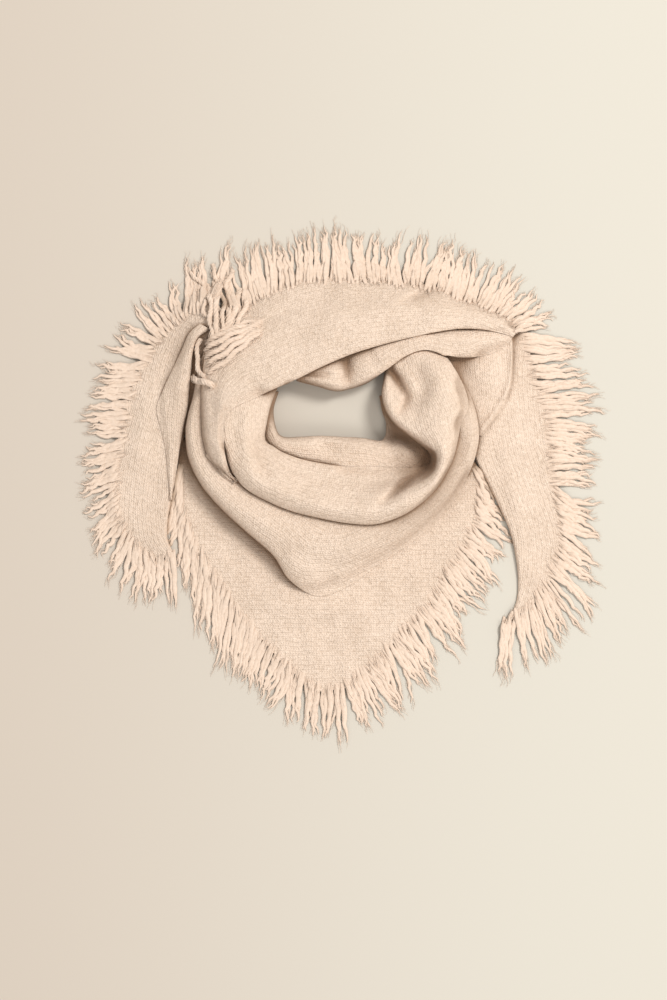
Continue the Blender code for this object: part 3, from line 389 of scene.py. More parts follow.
CREASES = {
    "front_bib": (
        (200, 520, 236, 560, 272, 590, 1.6, 9),
        (262, 600, 300, 612, 345, 606, -1.6, 10),
        (352, 604, 392, 590, 424, 560, 1.2, 11),
        (300, 640, 330, 650, 368, 640, -1.2, 12),
    ),
    "right_tail": (
        (498, 440, 512, 500, 524, 560, -1.8, 9),
        (486, 430, 500, 470, 508, 520, 1.4, 8),
        (530, 400, 538, 450, 545, 520, 1.0, 9),
    ),
    "right_tail_cover": (
        (452, 352, 470, 380, 482, 408, 2.6, 7),
        (510, 334, 511, 355, 509.5, 376, -2.5, 2.3),
        (509.5, 374, 505, 392, 495, 410, -2.5, 2.3),
        (497, 407, 488, 420, 479, 431, -2.5, 2.3),
        (486, 345, 492, 372, 488, 400, -1.6, 8),
    ),
    "left_tail": (
        (150, 380, 142, 430, 138, 480, -1.4, 9),
        (168, 430, 158, 480, 152, 530, 1.2, 8),
        (178, 340, 166, 372, 158, 400, 1.8, 6),
    ),
    "left_tail_fold": (
        (187, 338, 177, 362, 165, 392, 3.2, 4.5),
        (154, 401, 157, 411, 164, 421, 2.0, 4),
        (186, 350, 182, 388, 174, 430, -1.2, 5),
    ),
    "outer_drape": (
        (316, 588, 328, 585, 336, 574, 6.0, 8),
        (286, 560, 300, 572, 318, 566, -1.6, 8),
        (340, 548, 372, 546, 408, 528, -2.0, 12),
        (300, 556, 340, 566, 380, 552, 1.4, 9),
        (230, 500, 262, 524, 292, 540, -1.4, 8),
        (452, 424, 460, 446, 458, 472, 3.6, 5.5),
        (402, 520, 424, 504, 440, 484, 1.2, 7),
    ),
    "inner_drape": (
        (376, 362, 393, 376, 405, 396, 11.5, 5.2),
        (402, 388, 406, 402, 396, 417, 6.0, 4),
        (408, 366, 420, 386, 415, 412, 9.0, 10.5),
        (378, 506, 406, 481, 431, 458, 10.0, 4.6),
        (394, 488, 405, 473, 414, 458, 5.0, 8),
        (238, 412, 235, 444, 246, 472, 4.5, 9),
        (262, 452, 284, 476, 316, 492, -1.8, 8),
        (258, 446, 262, 464, 272, 480, 5.2, 7),
        (250, 408, 248, 440, 256, 478, -1.6, 6),
        (300, 486, 340, 500, 384, 494, 1.6, 9),
        (330, 478, 360, 486, 392, 480, -1.2, 8),
        (432, 372, 446, 398, 446, 430, -1.6, 8),
    ),
    "neck_inner_layer": (
        (318, 440, 329, 449, 343, 451, 3.0, 7),
        (382, 436, 402, 438, 424, 452, 9.0, 9),
        (382, 422, 397, 431, 412, 440, 7.0, 7),
        (268, 424, 276, 440, 290, 448, 1.4, 5),
    ),
    "lower_back_layer": (
        (343, 352, 347, 372, 346, 391, 6.5, 5),
        (300, 375, 317, 377, 334, 376, 5.0, 2.8),
        (366, 350, 372, 362, 376, 376, 1.4, 6),
        (430, 336, 462, 331, 492, 332, 2.0, 5),
        (392, 346, 410, 340, 430, 338, -1.4, 6),
    ),
    "upper_band": (
        (398, 307, 418, 297, 438, 288, 4.0, 5.5),
        (396, 300, 414, 291, 428, 285, -1.4, 5),
        (258, 330, 278, 318, 306, 306, 1.8, 7),
        (216, 400, 220, 376, 240, 350, 1.8, 6),
        (300, 330, 356, 318, 420, 312, -1.6, 12),
        (330, 346, 380, 332, 430, 322, 1.2, 8),
        (440, 310, 470, 306, 500, 316, 1.4, 7),
        (212, 420, 216, 444, 228, 466, -1.4, 5),
        (508, 320, 512, 331, 513, 342, 7.0, 6),
    ),
}

# ---- Strands over the crossing, with the columns of Strand ----

KNOT_DOWN_STRANDS = (
    (186, 268, 198, 280, 206, 290, 210, 304, 1.0, 1.9),
    (206, 284, 212, 302, 212, 324, 216, 346, 1.4, 2.7),
    (214, 280, 218, 300, 217, 322, 221, 343, 2.4, 2.5),
    (212, 264, 218, 284, 224, 304, 224, 337, 1.0, 2.2),
    (233, 270, 227, 286, 230, 306, 228, 333, 1.6, 2.6),
    (240, 288, 237, 304, 234, 318, 230, 332, 1.6, 2.8),
    (248, 292, 246, 306, 241, 320, 235, 332, 0.8, 2.3),
    (200, 290, 206, 300, 205, 312, 211, 322, 0.4, 1.7),
)

KNOT_ACROSS_STRANDS = (
    (263, 322, 247, 325, 231, 330, 213, 339, 0.4, 2.1),
    (262, 325, 244, 329, 226, 335, 207, 346, 1.0, 2.6),
    (261, 327, 243, 333, 225, 341, 206, 353, 1.8, 2.7),
    (261, 329, 243, 338, 226, 348, 207, 361, 1.4, 2.6),
    (262, 331, 245, 342, 228, 354, 208, 368, 2.0, 2.6),
    (262, 333, 247, 346, 231, 360, 210, 376, 1.6, 2.4),
    (201, 340, 198, 355, 200, 370, 206, 381, 2.2, 2.3),
    (193, 377, 200, 382, 207, 385, 216, 387, 2.6, 3.0),
)

# ---- Finishes ----


@dataclass(frozen=True)
class Finish:
    """What the wool looks like, with lengths in millimetres."""

    name: str
    ending: str  # of its pieces' names
    slot: str
    colour: Colour
    shade: Colour  # painted shade between the legs of the stitches, also the darker end of the wool's random tone
    painted_fold_shade: Colour  # painted shade, deep between two folds
    deep: float  # the drop that hides the sky as well as any, for the painted shade in folds
    wale: float
    course: float
    relief: float
    sheen: float
    roughness: float
    fluff: float  # how far its nap catches the light from above


KNIT = Finish(
    name="cream_knit",
    ending="_knit",
    slot="knit",
    colour=(0.97, 0.785, 0.64),
    shade=(0.53, 0.375, 0.255),
    painted_fold_shade=(0.325, 0.205, 0.13),
    deep=7.0,
    wale=4.6,
    course=2.6,
    relief=0.7,
    sheen=0.15,
    roughness=0.92,
    fluff=0.0,
)
YARN = Finish(
    name="cream_yarn",
    ending="_yarn",
    slot="fringe",
    colour=(0.93, 0.745, 0.605),
    shade=(0.70, 0.52, 0.385),
    painted_fold_shade=(0.56, 0.41, 0.29),
    deep=4.0,
    wale=1.1,
    course=1.3,
    relief=0.2,
    sheen=0.2,
    roughness=0.95,
    fluff=0.5,
)


class Tree:
    """Adds nodes to a node tree, and links or sets their inputs."""

    def __init__(self, tree: bpy.types.NodeTree) -> None:
        """Takes the tree."""
        self.tree = tree

    def feed(self, socket: bpy.types.NodeSocket, value: object) -> None:
        """Gives an input what it reads.

        Args:
            socket: the input.
            value: an output to link to it, or a number, a vector or a colour to set.
        """
        if isinstance(value, bpy.types.NodeSocket):
            self.tree.links.new(value, socket)
        elif isinstance(socket, bpy.types.NodeSocketColor):
            socket.default_value = (*value, 1.0)
        else:
            socket.default_value = value

    def node(self, kind: str, inputs: dict, **settings: object) -> bpy.types.NodeOutputs:
        """Adds a node.

        Args:
            kind: the node's type, without the word ShaderNode.
            inputs: what each input reads, by its name or number.
            settings: the node's properties.

        Returns:
            Its outputs.
        """
        made = self.tree.nodes.new("ShaderNode" + kind)
        for name, value in settings.items():
            setattr(made, name, value)
        for key, value in inputs.items():
            self.feed(made.inputs[key], value)
        return made.outputs

    def sum(self, operation: str, *values: object) -> bpy.types.NodeSocket:
        """Adds a Math node that works on sockets or numbers, and gives its output."""
        return self.node("Math", dict(enumerate(values)), operation=operation)[0]

    def blend(self, share: object, first: object, second: object) -> bpy.types.NodeSocket:
        """Mixes two colours by a share, and gives the mixed colour."""
        return self.node("Mix", {0: share, 6: first, 7: second}, data_type="RGBA")[2]


def new_group(
    name: str, inputs: dict[str, str], outputs: tuple[str, ...]
) -> tuple[Tree, bpy.types.NodeOutputs, bpy.types.NodeInputs]:
    """Makes a node group with its sockets.

    Args:
        name: the group's name.
        inputs: the kind of each input, by its name.
        outputs: the names of the outputs, all of them plain values.

    Returns:
        The tree to fill, what the group is given, and where its results go.
    """
    group = bpy.data.node_groups.new(name, "ShaderNodeTree")
    for given, kind in inputs.items():
        group.interface.new_socket(given, in_out="INPUT", socket_type="NodeSocket" + kind)
    for result in outputs:
        group.interface.new_socket(result, in_out="OUTPUT", socket_type="NodeSocketFloat")
    return Tree(group), group.nodes.new("NodeGroupInput").outputs, group.nodes.new("NodeGroupOutput").inputs


@cache
def stitch_group() -> bpy.types.NodeTree:
    """The knit's relief: two slanting legs to each stitch, in columns that drift a little.

    Returns:
        A node group with the cloth's own coordinates and the two stitch sizes as
        inputs, and the relief's height as its output.
    """
    sockets = {"Cloth": "Vector", "Wale": "Float", "Course": "Float"}
    tree, given, results = new_group("stitch_relief", sockets, ("Height",))
    drift = 4.5  # mm that the columns wander
    slope = 1.5  # stitches that a leg rises over its column's width
    gap, twist = 0.45, 0.35  # how far the relief drops between columns, and between stitches
    noise = tree.node("TexNoise", {"Vector": given["Cloth"], "Scale": 0.09})["Color"]
    pulled = {0: noise, 1: (drift, drift, 0.0), 2: given["Cloth"]}
    place = tree.node("SeparateXYZ", {0: tree.node("VectorMath", pulled, operation="MULTIPLY_ADD")[0]})
    along = tree.sum("DIVIDE", place["X"], given["Course"])
    over = tree.sum("DIVIDE", place["Y"], given["Wale"])
    from_middle = tree.sum("ABSOLUTE", tree.sum("SUBTRACT", tree.sum("FRACT", over), 0.5))
    between_legs = tree.sum("COSINE", tree.sum("MULTIPLY", from_middle, math.pi))
    leg = tree.sum("SINE", tree.sum("MULTIPLY", from_middle, TURN))
    leg = tree.sum("MULTIPLY_ADD", between_legs, gap, leg)
    slant = tree.sum("MULTIPLY_ADD", from_middle, slope, along)
    turn = tree.sum("SINE", tree.sum("MULTIPLY", slant, TURN))
    strand = tree.sum("MULTIPLY_ADD", turn, twist, 1 - twist)
    tree.feed(results["Height"], tree.sum("MULTIPLY", leg, strand))
    return tree.tree


@cache
def wool_group() -> bpy.types.NodeTree:
    """The wool's own unevenness, at the sizes of a fibre and of a hand.

    Returns:
        A node group with a place as its input, and a fine and a broad mask as outputs.
    """
    tree, given, results = new_group("wool_variation", {"Place": "Vector"}, ("Fine", "Broad"))
    for name, scale, detail in (("Fine", 340.0, 3.0), ("Broad", 26.0, 2.0)):
        noise = {"Vector": given["Place"], "Scale": scale, "Detail": detail}
        tree.feed(results[name], tree.node("TexNoise", noise)["Fac"])
    return tree.tree


def new_material(name: str, values: dict) -> tuple[bpy.types.Material, Tree, bpy.types.NodeInputs]:
    """Makes a material.

    Args:
        name: its name.
        values: what stays the same all over the surface, by the shader's inputs.

    Returns:
        The material, its tree, and the shader's inputs.
    """
    made = bpy.data.materials.new(name)
    made.use_nodes = True
    tree = Tree(made.node_tree)
    inputs = made.node_tree.nodes["Principled BSDF"].inputs
    for key, value in values.items():
        tree.feed(inputs[key], value)
    return made, tree, inputs


@cache
def wool(finish: Finish) -> bpy.types.Material:
    """Makes the material of a finish.

    Args:
        finish: the wool's looks.

    Returns:
        The material.
    """
    values = {
        "Roughness": finish.roughness,
        "Specular IOR Level": 0.15,
        "Sheen Weight": finish.sheen,
        "Sheen Roughness": 0.5,
        "Sheen Tint": (1.0, 0.9, 0.78),
    }
    made, tree, inputs = new_material(finish.name, values)
    places = tree.node("TexCoord", {})
    varied = tree.node("Group", {"Place": places["Object"]}, node_tree=wool_group())
    size = {"Cloth": places["UV"], "Wale": finish.wale, "Course": finish.course}
    stitch = tree.node("Group", size, node_tree=stitch_group())
    bobble = tree.sum("MULTIPLY_ADD", varied["Fine"], 2.3, -1.19)  # 0 on average
    relief = tree.sum("ADD", tree.sum("MULTIPLY", stitch["Height"], 0.67), bobble)
    depth = tree.sum("MULTIPLY_ADD", relief, -0.42, 0.42)  # painted shade: 0 on top of the stitches and 1 deep between them
    broad = tree.sum("MULTIPLY_ADD", varied["Broad"], 0.4, -0.2)
    share = tree.node("Clamp", {"Value": tree.sum("ADD", depth, broad)})[0]
    cloth = tree.blend(share, finish.colour, finish.shade)
    # Painted shade: the colour darkens towards the finish's fold shade where the heap hides the sky.
    hidden = tree.node("Attribute", {}, attribute_name="painted_fold_shade")["Fac"]
    limits = {"Value": hidden, "From Min": 0.07, "From Max": 0.52}
    painted_shade_share = tree.node("MapRange", limits, interpolation_type="SMOOTHSTEP")["Result"]
    tree.feed(inputs["Base Color"], tree.blend(painted_shade_share, cloth, finish.painted_fold_shade))

    bump = {"Distance": finish.relief * MM, "Strength": 0.9, "Height": relief}
    if finish.fluff:
        normal = tree.node("NewGeometry", {})["Normal"]
        upward = {0: normal, 1: (1 - finish.fluff,) * 3, 2: (0.0, 0.0, finish.fluff)}
        raised = tree.node("VectorMath", upward, operation="MULTIPLY_ADD")[0]
        bump["Normal"] = tree.node("VectorMath", {0: raised}, operation="NORMALIZE")[0]
    tree.feed(inputs["Normal"], tree.node("Bump", bump)[0])
    return made


# ---- Curves ----


def spline(knots: list[np.ndarray], share: np.ndarray) -> np.ndarray:
    """Reads a smooth curve between the second and the third of four knots.

    Args:
        knots: the four knots.
        share: how far from the second to the third it is read.

    Returns:
        The points there.
    """
    first, second, third, fourth = knots
    return 0.5 * (
        2 * second
        + (third - first) * share
        + (2 * first - 5 * second + 4 * third - fourth) * share**2
        + (3 * second - first - 3 * third + fourth) * share**3
    )


def across(values: np.ndarray, places: np.ndarray, closed: bool = False) -> np.ndarray:
    """Reads the smooth curve through the values of every row at that row's own places.

    Args:
        values: the knots of each row.
        places: where to read them; 0 is the first knot and 1 the second.
        closed: whether the last knot leads back to the first.

    Returns:
        A value for each place.
    """
    before, after = 2 * values[:, :1] - values[:, 1:2], 2 * values[:, -1:] - values[:, -2:-1]
    last = values.shape[1] - 2
    if closed:
        before, after, last = values[:, -1:], values[:, :3], values.shape[1]
    padded = np.concatenate([before, values, after], axis=1)
    start = np.clip(np.floor(places).astype(int), 0, last)
    return spline([np.take_along_axis(padded, start + step, axis=1) for step in range(4)], places - start)


def between(knots: Table | np.ndarray, places: np.ndarray, closed: bool = False) -> np.ndarray:
    """Reads the smooth curve through rows of knots.

    Args:
        knots: the rows.
        places: where to read them; 0 is the first row and 1 the second.
        closed: whether the last row leads back to the first.

    Returns:
        A row for each place.
    """
    columns = np.array(knots, float).T
    read = across(columns, np.broadcast_to(places, (len(columns), len(places))), closed)
    return np.ascontiguousarray(read.T)


def reach_of(path: np.ndarray) -> np.ndarray:
    """The distance along a path at each of its points."""
    steps = np.linalg.norm(np.diff(path, axis=0), axis=-1)
    return np.concatenate([np.zeros_like(steps[:1]), np.cumsum(steps, axis=0)])


def route(row: tuple[float, ...]) -> np.ndarray:
    """The plan points of a blend, a crease or a strand, without its last two columns."""
    return np.array(row[:-2]).reshape(-1, 2)


def from_path(points: np.ndarray, path: np.ndarray) -> tuple[np.ndarray, np.ndarray]:
    """Measures points against a path.

    Args:
        points: plan points.
        path: the plan points that the path runs through.

    Returns:
        How far each point is from the path, and the share of the path where it is nearest.
    """
    samples = between(path, np.linspace(0, len(path) - 1, PATH_STEPS + 1))
    apart = np.linalg.norm(points[..., None, :] - samples, axis=-1)
    return apart.min(axis=-1), apart.argmin(axis=-1) / PATH_STEPS


def lifted(plan: np.ndarray, height: np.ndarray) -> np.ndarray:
    """Plan points with their heights, in millimetres."""
    return np.concatenate([plan, height[..., None]], axis=-1)


def to_part(points: np.ndarray) -> np.ndarray:
    """Plan points with heights, in millimetres, as points of the part, in metres."""
    x, y, height = np.moveaxis(points, -1, 0)
    return np.stack([(x - ORIGIN_X) * MM, (ORIGIN_Y - y) * MM, height * MM], axis=-1)


def sideways_of(ahead: np.ndarray) -> np.ndarray:
    """The directions square to others on the plan."""
    return np.stack([-ahead[:, 1], ahead[:, 0]], axis=1)


def waves(plan: np.ndarray, seed: int, length: float, count: int = 7) -> np.ndarray:
    """Gentle unevenness, made of sine waves in all directions.

    Args:
        plan: the plan points.
        seed: for the waves' directions.
        length: the waves' length in millimetres, about.
        count: how many waves there are.

    Returns:
        A value for each point, about from -1 to 1.
    """
    draw = np.random.default_rng(seed)
    total = np.zeros(plan.shape[:-1])
    for _ in range(count):
        angle, phase = draw.uniform(0, TURN, 2)
        rate = TURN / (length * draw.uniform(0.7, 1.6))
        total += np.sin(rate * (plan[..., 0] * math.cos(angle) + plan[..., 1] * math.sin(angle)) + phase)
    return total / (count / 2)


def beside(values: np.ndarray) -> list[np.ndarray]:
    """The neighbours of every value, before and after it along each axis; a border counts twice."""
    return [
        np.take(values, np.clip(np.arange(size) + step, 0, size - 1), axis)
        for axis, size in enumerate(values.shape)
        for step in (-1, 1)
    ]


def smoothed(values: np.ndarray, carried: int = 4, rounded: int = 8) -> np.ndarray:
    """Carries the values along an edge over their steps, and rounds them off.

    Args:
        values: a value for each row.
        carried: over how many rows a high value is carried.
        rounded: how many passes round them off.

    Returns:
        The smooth values.
    """
    for _ in range(carried):
        values = np.max([values, *beside(values)], axis=0)
    for _ in range(rounded):
        values = (2 * values + sum(beside(values))) / 4
    return values


# ---- The heap ----


def samples_of(grid: np.ndarray, count: int = 4) -> Iterator[tuple[np.ndarray, tuple]]:
    """Reads every quad of a grid at count by count places.

    Args:
        grid: (rows, columns, 3).
        count: the places along each side of a quad.

    Yields:
        The points at one place of all quads, with the four slices that pick the quads' corners.
    """
    corners = (np.s_[:-1, :-1], np.s_[:-1, 1:], np.s_[1:, :-1], np.s_[1:, 1:])
    for u in np.linspace(0, 1, count):
        for v in np.linspace(0, 1, count):
            weights = ((1 - u) * (1 - v), (1 - u) * v, u * (1 - v), u * v)
            yield sum(grid[corner] * weight for corner, weight in zip(corners, weights)), corners


def cells_of(plan: np.ndarray) -> tuple[np.ndarray, np.ndarray]:
    """The rows and columns of the raster's cells at plan points."""
    cells = np.clip(np.rint(plan[..., :2]).astype(int), 0, (PLAN_WIDTH - 1, PLAN_DEPTH - 1))
    return cells[..., 1], cells[..., 0]


class Heap:
    """The height of everything laid so far, on a 1 mm raster of the laying plan."""

    SPREADING = 3  # passes that carry a rise to its neighbours
    SOFTENING = 14  # passes that round a layer off and still clear what lies below
    EVENING = 6  # last passes
    LOOKS = 16  # directions in which a point looks for what hides the sky
    FAR = (1.5, 3.0, 5.0, 8.0, 12.0, 18.0, 27.0, 38.0)  # mm away

    def __init__(self) -> None:
        """Starts with the bare floor."""
        self.top = np.full((PLAN_DEPTH, PLAN_WIDTH), -LAYER_GAP)

    def under(self, plan: np.ndarray) -> np.ndarray:
        """Finds the highest thing within a millimetre of each plan point.

        Args:
            plan: the points.

        Returns:
            Its height at each of them.
        """
        wide = np.pad(self.top, 1, mode="edge")
        moved = [wide[j : j + PLAN_DEPTH, i : i + PLAN_WIDTH] for j in range(3) for i in range(3)]
        return np.max(moved, axis=0)[cells_of(plan)]

    def settle(self, plan: np.ndarray, underside: np.ndarray, thickness: np.ndarray) -> np.ndarray:
        """How far each point of a grid rises to clear all that lies below.

        Args:
            plan: the grid's plan points.
            underside: the height of the grid's lower side at each of them.
            thickness: the share of the wall's thickness at each of them.

        Returns:
            The rise of each point, rounded off between the places that need it.
        """
        own = np.zeros(underside.shape)
        for place, corners in samples_of(lifted(plan, underside), 3):
            short = self.under(place) + LAYER_GAP - place[..., 2]
            for corner in corners:
                np.maximum(own[corner], short, out=own[corner])
        needed = own
        for _ in range(self.SPREADING):
            needed = np.max([needed, *beside(needed)], axis=0)
        rise = needed
        for _ in range(self.SOFTENING):
            rise = np.maximum(needed, sum(beside(rise)) / 4)
        for _ in range(self.EVENING):
            rise = sum(beside(rise)) / 4
        return own + (rise - own) * thickness**2

    def painted_fold_shade(self, points: np.ndarray, deep: float) -> np.ndarray:
        """How much of the sky the heap hides from each point, the mask of the painted shade in folds.

        Args:
            points: plan points with heights.
            deep: the drop from which on one counts in full.

        Returns:
            A value for each point: 0 in the open and 1 deep in a fold.
        """
        hidden = np.zeros(len(points))
        for angle in np.arange(self.LOOKS) * TURN / self.LOOKS:
            steepest = np.zeros(len(points))
            for far in self.FAR:
                spot = points[:, :2] + far * np.array([math.cos(angle), math.sin(angle)])
                drop = self.top[cells_of(spot)] - points[:, 2]
                steepest = np.maximum(steepest, drop / far * np.clip(drop / deep, 0, 1))
            hidden += steepest**2 / (1 + steepest**2)
        return hidden / self.LOOKS

    def add(self, points: np.ndarray) -> None:
        """Raises the heap to a grid of points laid on it."""
        for place, _ in samples_of(points):
            np.maximum.at(self.top, cells_of(place), place[..., 2])


# ---- Meshes ----


def mesh_of(body: bmesh.types.BMesh, name: str) -> bpy.types.Mesh:
    """Makes a mesh of a bmesh.

    Args:
        body: the bmesh, which is freed.
        name: the mesh's name.

    Returns:
        The mesh.
    """
    mesh = bpy.data.meshes.new(name)
    body.to_mesh(mesh)
    body.free()
    return mesh


def placed(name: str, data: bpy.types.ID) -> bpy.types.Object:
    """Makes an object and links it to the scene.

    Args:
        name: its name.
        data: its mesh, curve, light or camera.

    Returns:
        The object.
    """
    made = bpy.data.objects.new(name, data)
    bpy.context.scene.collection.objects.link(made)
    return made


def vertices_of(mesh: bpy.types.Mesh) -> np.ndarray:
    """Reads a mesh's vertices.

    Args:
        mesh: the mesh.

    Returns:
        (vertices, 3), their places.
    """
    spots = np.empty(len(mesh.vertices) * 3, np.float32)
    mesh.vertices.foreach_get("co", spots)
    return spots.reshape(-1, 3)


def add_piece(node: str, mesh: bpy.types.Mesh, finish: Finish) -> bpy.types.Object:
    """Adds a mesh as a piece of the shawl.

    Args:
        node: the CAD node that the piece stands for.
        mesh: its mesh.
        finish: its wool.

    Returns:
        The piece.
    """
    mesh.name = node + finish.ending
    mesh.materials.clear()
    mesh.materials.append(wool(finish))
    made = placed(mesh.name, mesh)
    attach(made, "root")
    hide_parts(node)
    LOG.info("%s: %d faces", made.name, len(mesh.polygons))
    return made


def normals_of(points: np.ndarray) -> np.ndarray:
    """The directions square to a grid of points, of any length and all on one side of it."""
    return np.cross(np.gradient(points, axis=0), np.gradient(points, axis=1))


def add_grid(
    node: str, points: np.ndarray, cloth: np.ndarray, thickness: np.ndarray | None = None
) -> bpy.types.Object:
    """Adds a knitted piece of the shawl, from a grid of points.

    Args:
        node: the CAD node that the piece stands for.
        points: (rows, columns, 3), plan points with heights.
        cloth: (rows, columns, 2), the cloth's own coordinates in millimetres.
        thickness: (rows, columns), the share of the wall's thickness at each point.

    Returns:
        The piece, facing up.
    """
    points = to_part(points)
    rows, columns = points.shape[:2]
    body = bmesh.new()
    bmesh.ops.create_grid(body, x_segments=columns - 1, y_segments=rows - 1, size=1.0)
    mesh = mesh_of(body, node)
    share = (vertices_of(mesh) + 1) / 2
    column = np.rint(share[:, 0] * (columns - 1)).astype(int)
    row = np.rint(share[:, 1] * (rows - 1)).astype(int)
    mesh.vertices.foreach_set("co", points[row, column].astype(np.float32).ravel())
    corners = np.empty(len(mesh.loops), np.int32)
    mesh.loops.foreach_get("vertex_index", corners)
    layer = mesh.uv_layers.new(name="cloth")
    layer.uv.foreach_set("vector", cloth[row, column][corners].astype(np.float32).ravel())
    mesh.update()
    if normals_of(points)[..., 2].mean() > 0:  # create_grid winds its faces the other way
        mesh.flip_normals()
    mesh.shade_smooth()
    made = add_piece(node, mesh, KNIT)
    if thickness is not None:
        group = made.vertex_groups.new(name="thickness")
        for index, value in enumerate(thickness[row, column].tolist()):
            group.add([index], value, "REPLACE")
    return made


def shade(piece: bpy.types.Object, heap: Heap) -> None:
    """Stores how deep each point of a piece lies between the folds, as the mask of the painted shade that
    its finish darkens there.

    Args:
        piece: a laid piece.
        heap: everything, once it is all laid.
    """
    mesh = piece.data
    deep = {finish.name: finish.deep for finish in (KNIT, YARN)}[mesh.materials[0].name]
    x, y, height = (vertices_of(mesh) / MM).T
    painted_fold_shade = heap.painted_fold_shade(np.stack([x + ORIGIN_X, ORIGIN_Y - y, height], axis=1), deep)
    mesh.attributes.new("painted_fold_shade", "FLOAT", "POINT").data.foreach_set("value", painted_fold_shade.astype(np.float32))


# ---- Fringe ----


def yarns(paths: np.ndarray, radii: np.ndarray, sides: int, flat: float = 1.0) -> bpy.types.Mesh:
    """Sweeps yarns along paths.

    Args:
        paths: (yarns, points, 3), plan points with heights.
        radii: (yarns, points), in millimetres.
        sides: the curve's bevel resolution.
        flat: the yarns' height over their width.

    Returns:
        One mesh with all the yarns.
    """
    curve = bpy.data.curves.new("yarns", "CURVE")
    curve.dimensions = "3D"
    curve.bevel_depth = 1.0
    curve.bevel_resolution = sides
    curve.use_fill_caps = True
    for path, radius in zip(to_part(paths), radii * MM):
        line = curve.splines.new("POLY")
        line.points.add(len(path) - 1)
        raised = np.column_stack([path[:, :2], path[:, 2] / flat, np.ones(len(path))])
        line.points.foreach_set("co", raised.ravel())
        line.points.foreach_set("radius", radius)
    holder = placed("yarns", curve)
    seen = holder.evaluated_get(bpy.context.evaluated_depsgraph_get())
    mesh = bpy.data.meshes.new_from_object(seen)
    bpy.data.objects.remove(holder, do_unlink=True)
    bpy.data.curves.remove(curve)
    mesh.transform(Matrix.Diagonal((1, 1, flat, 1)))
    mesh.shade_smooth()
    return mesh


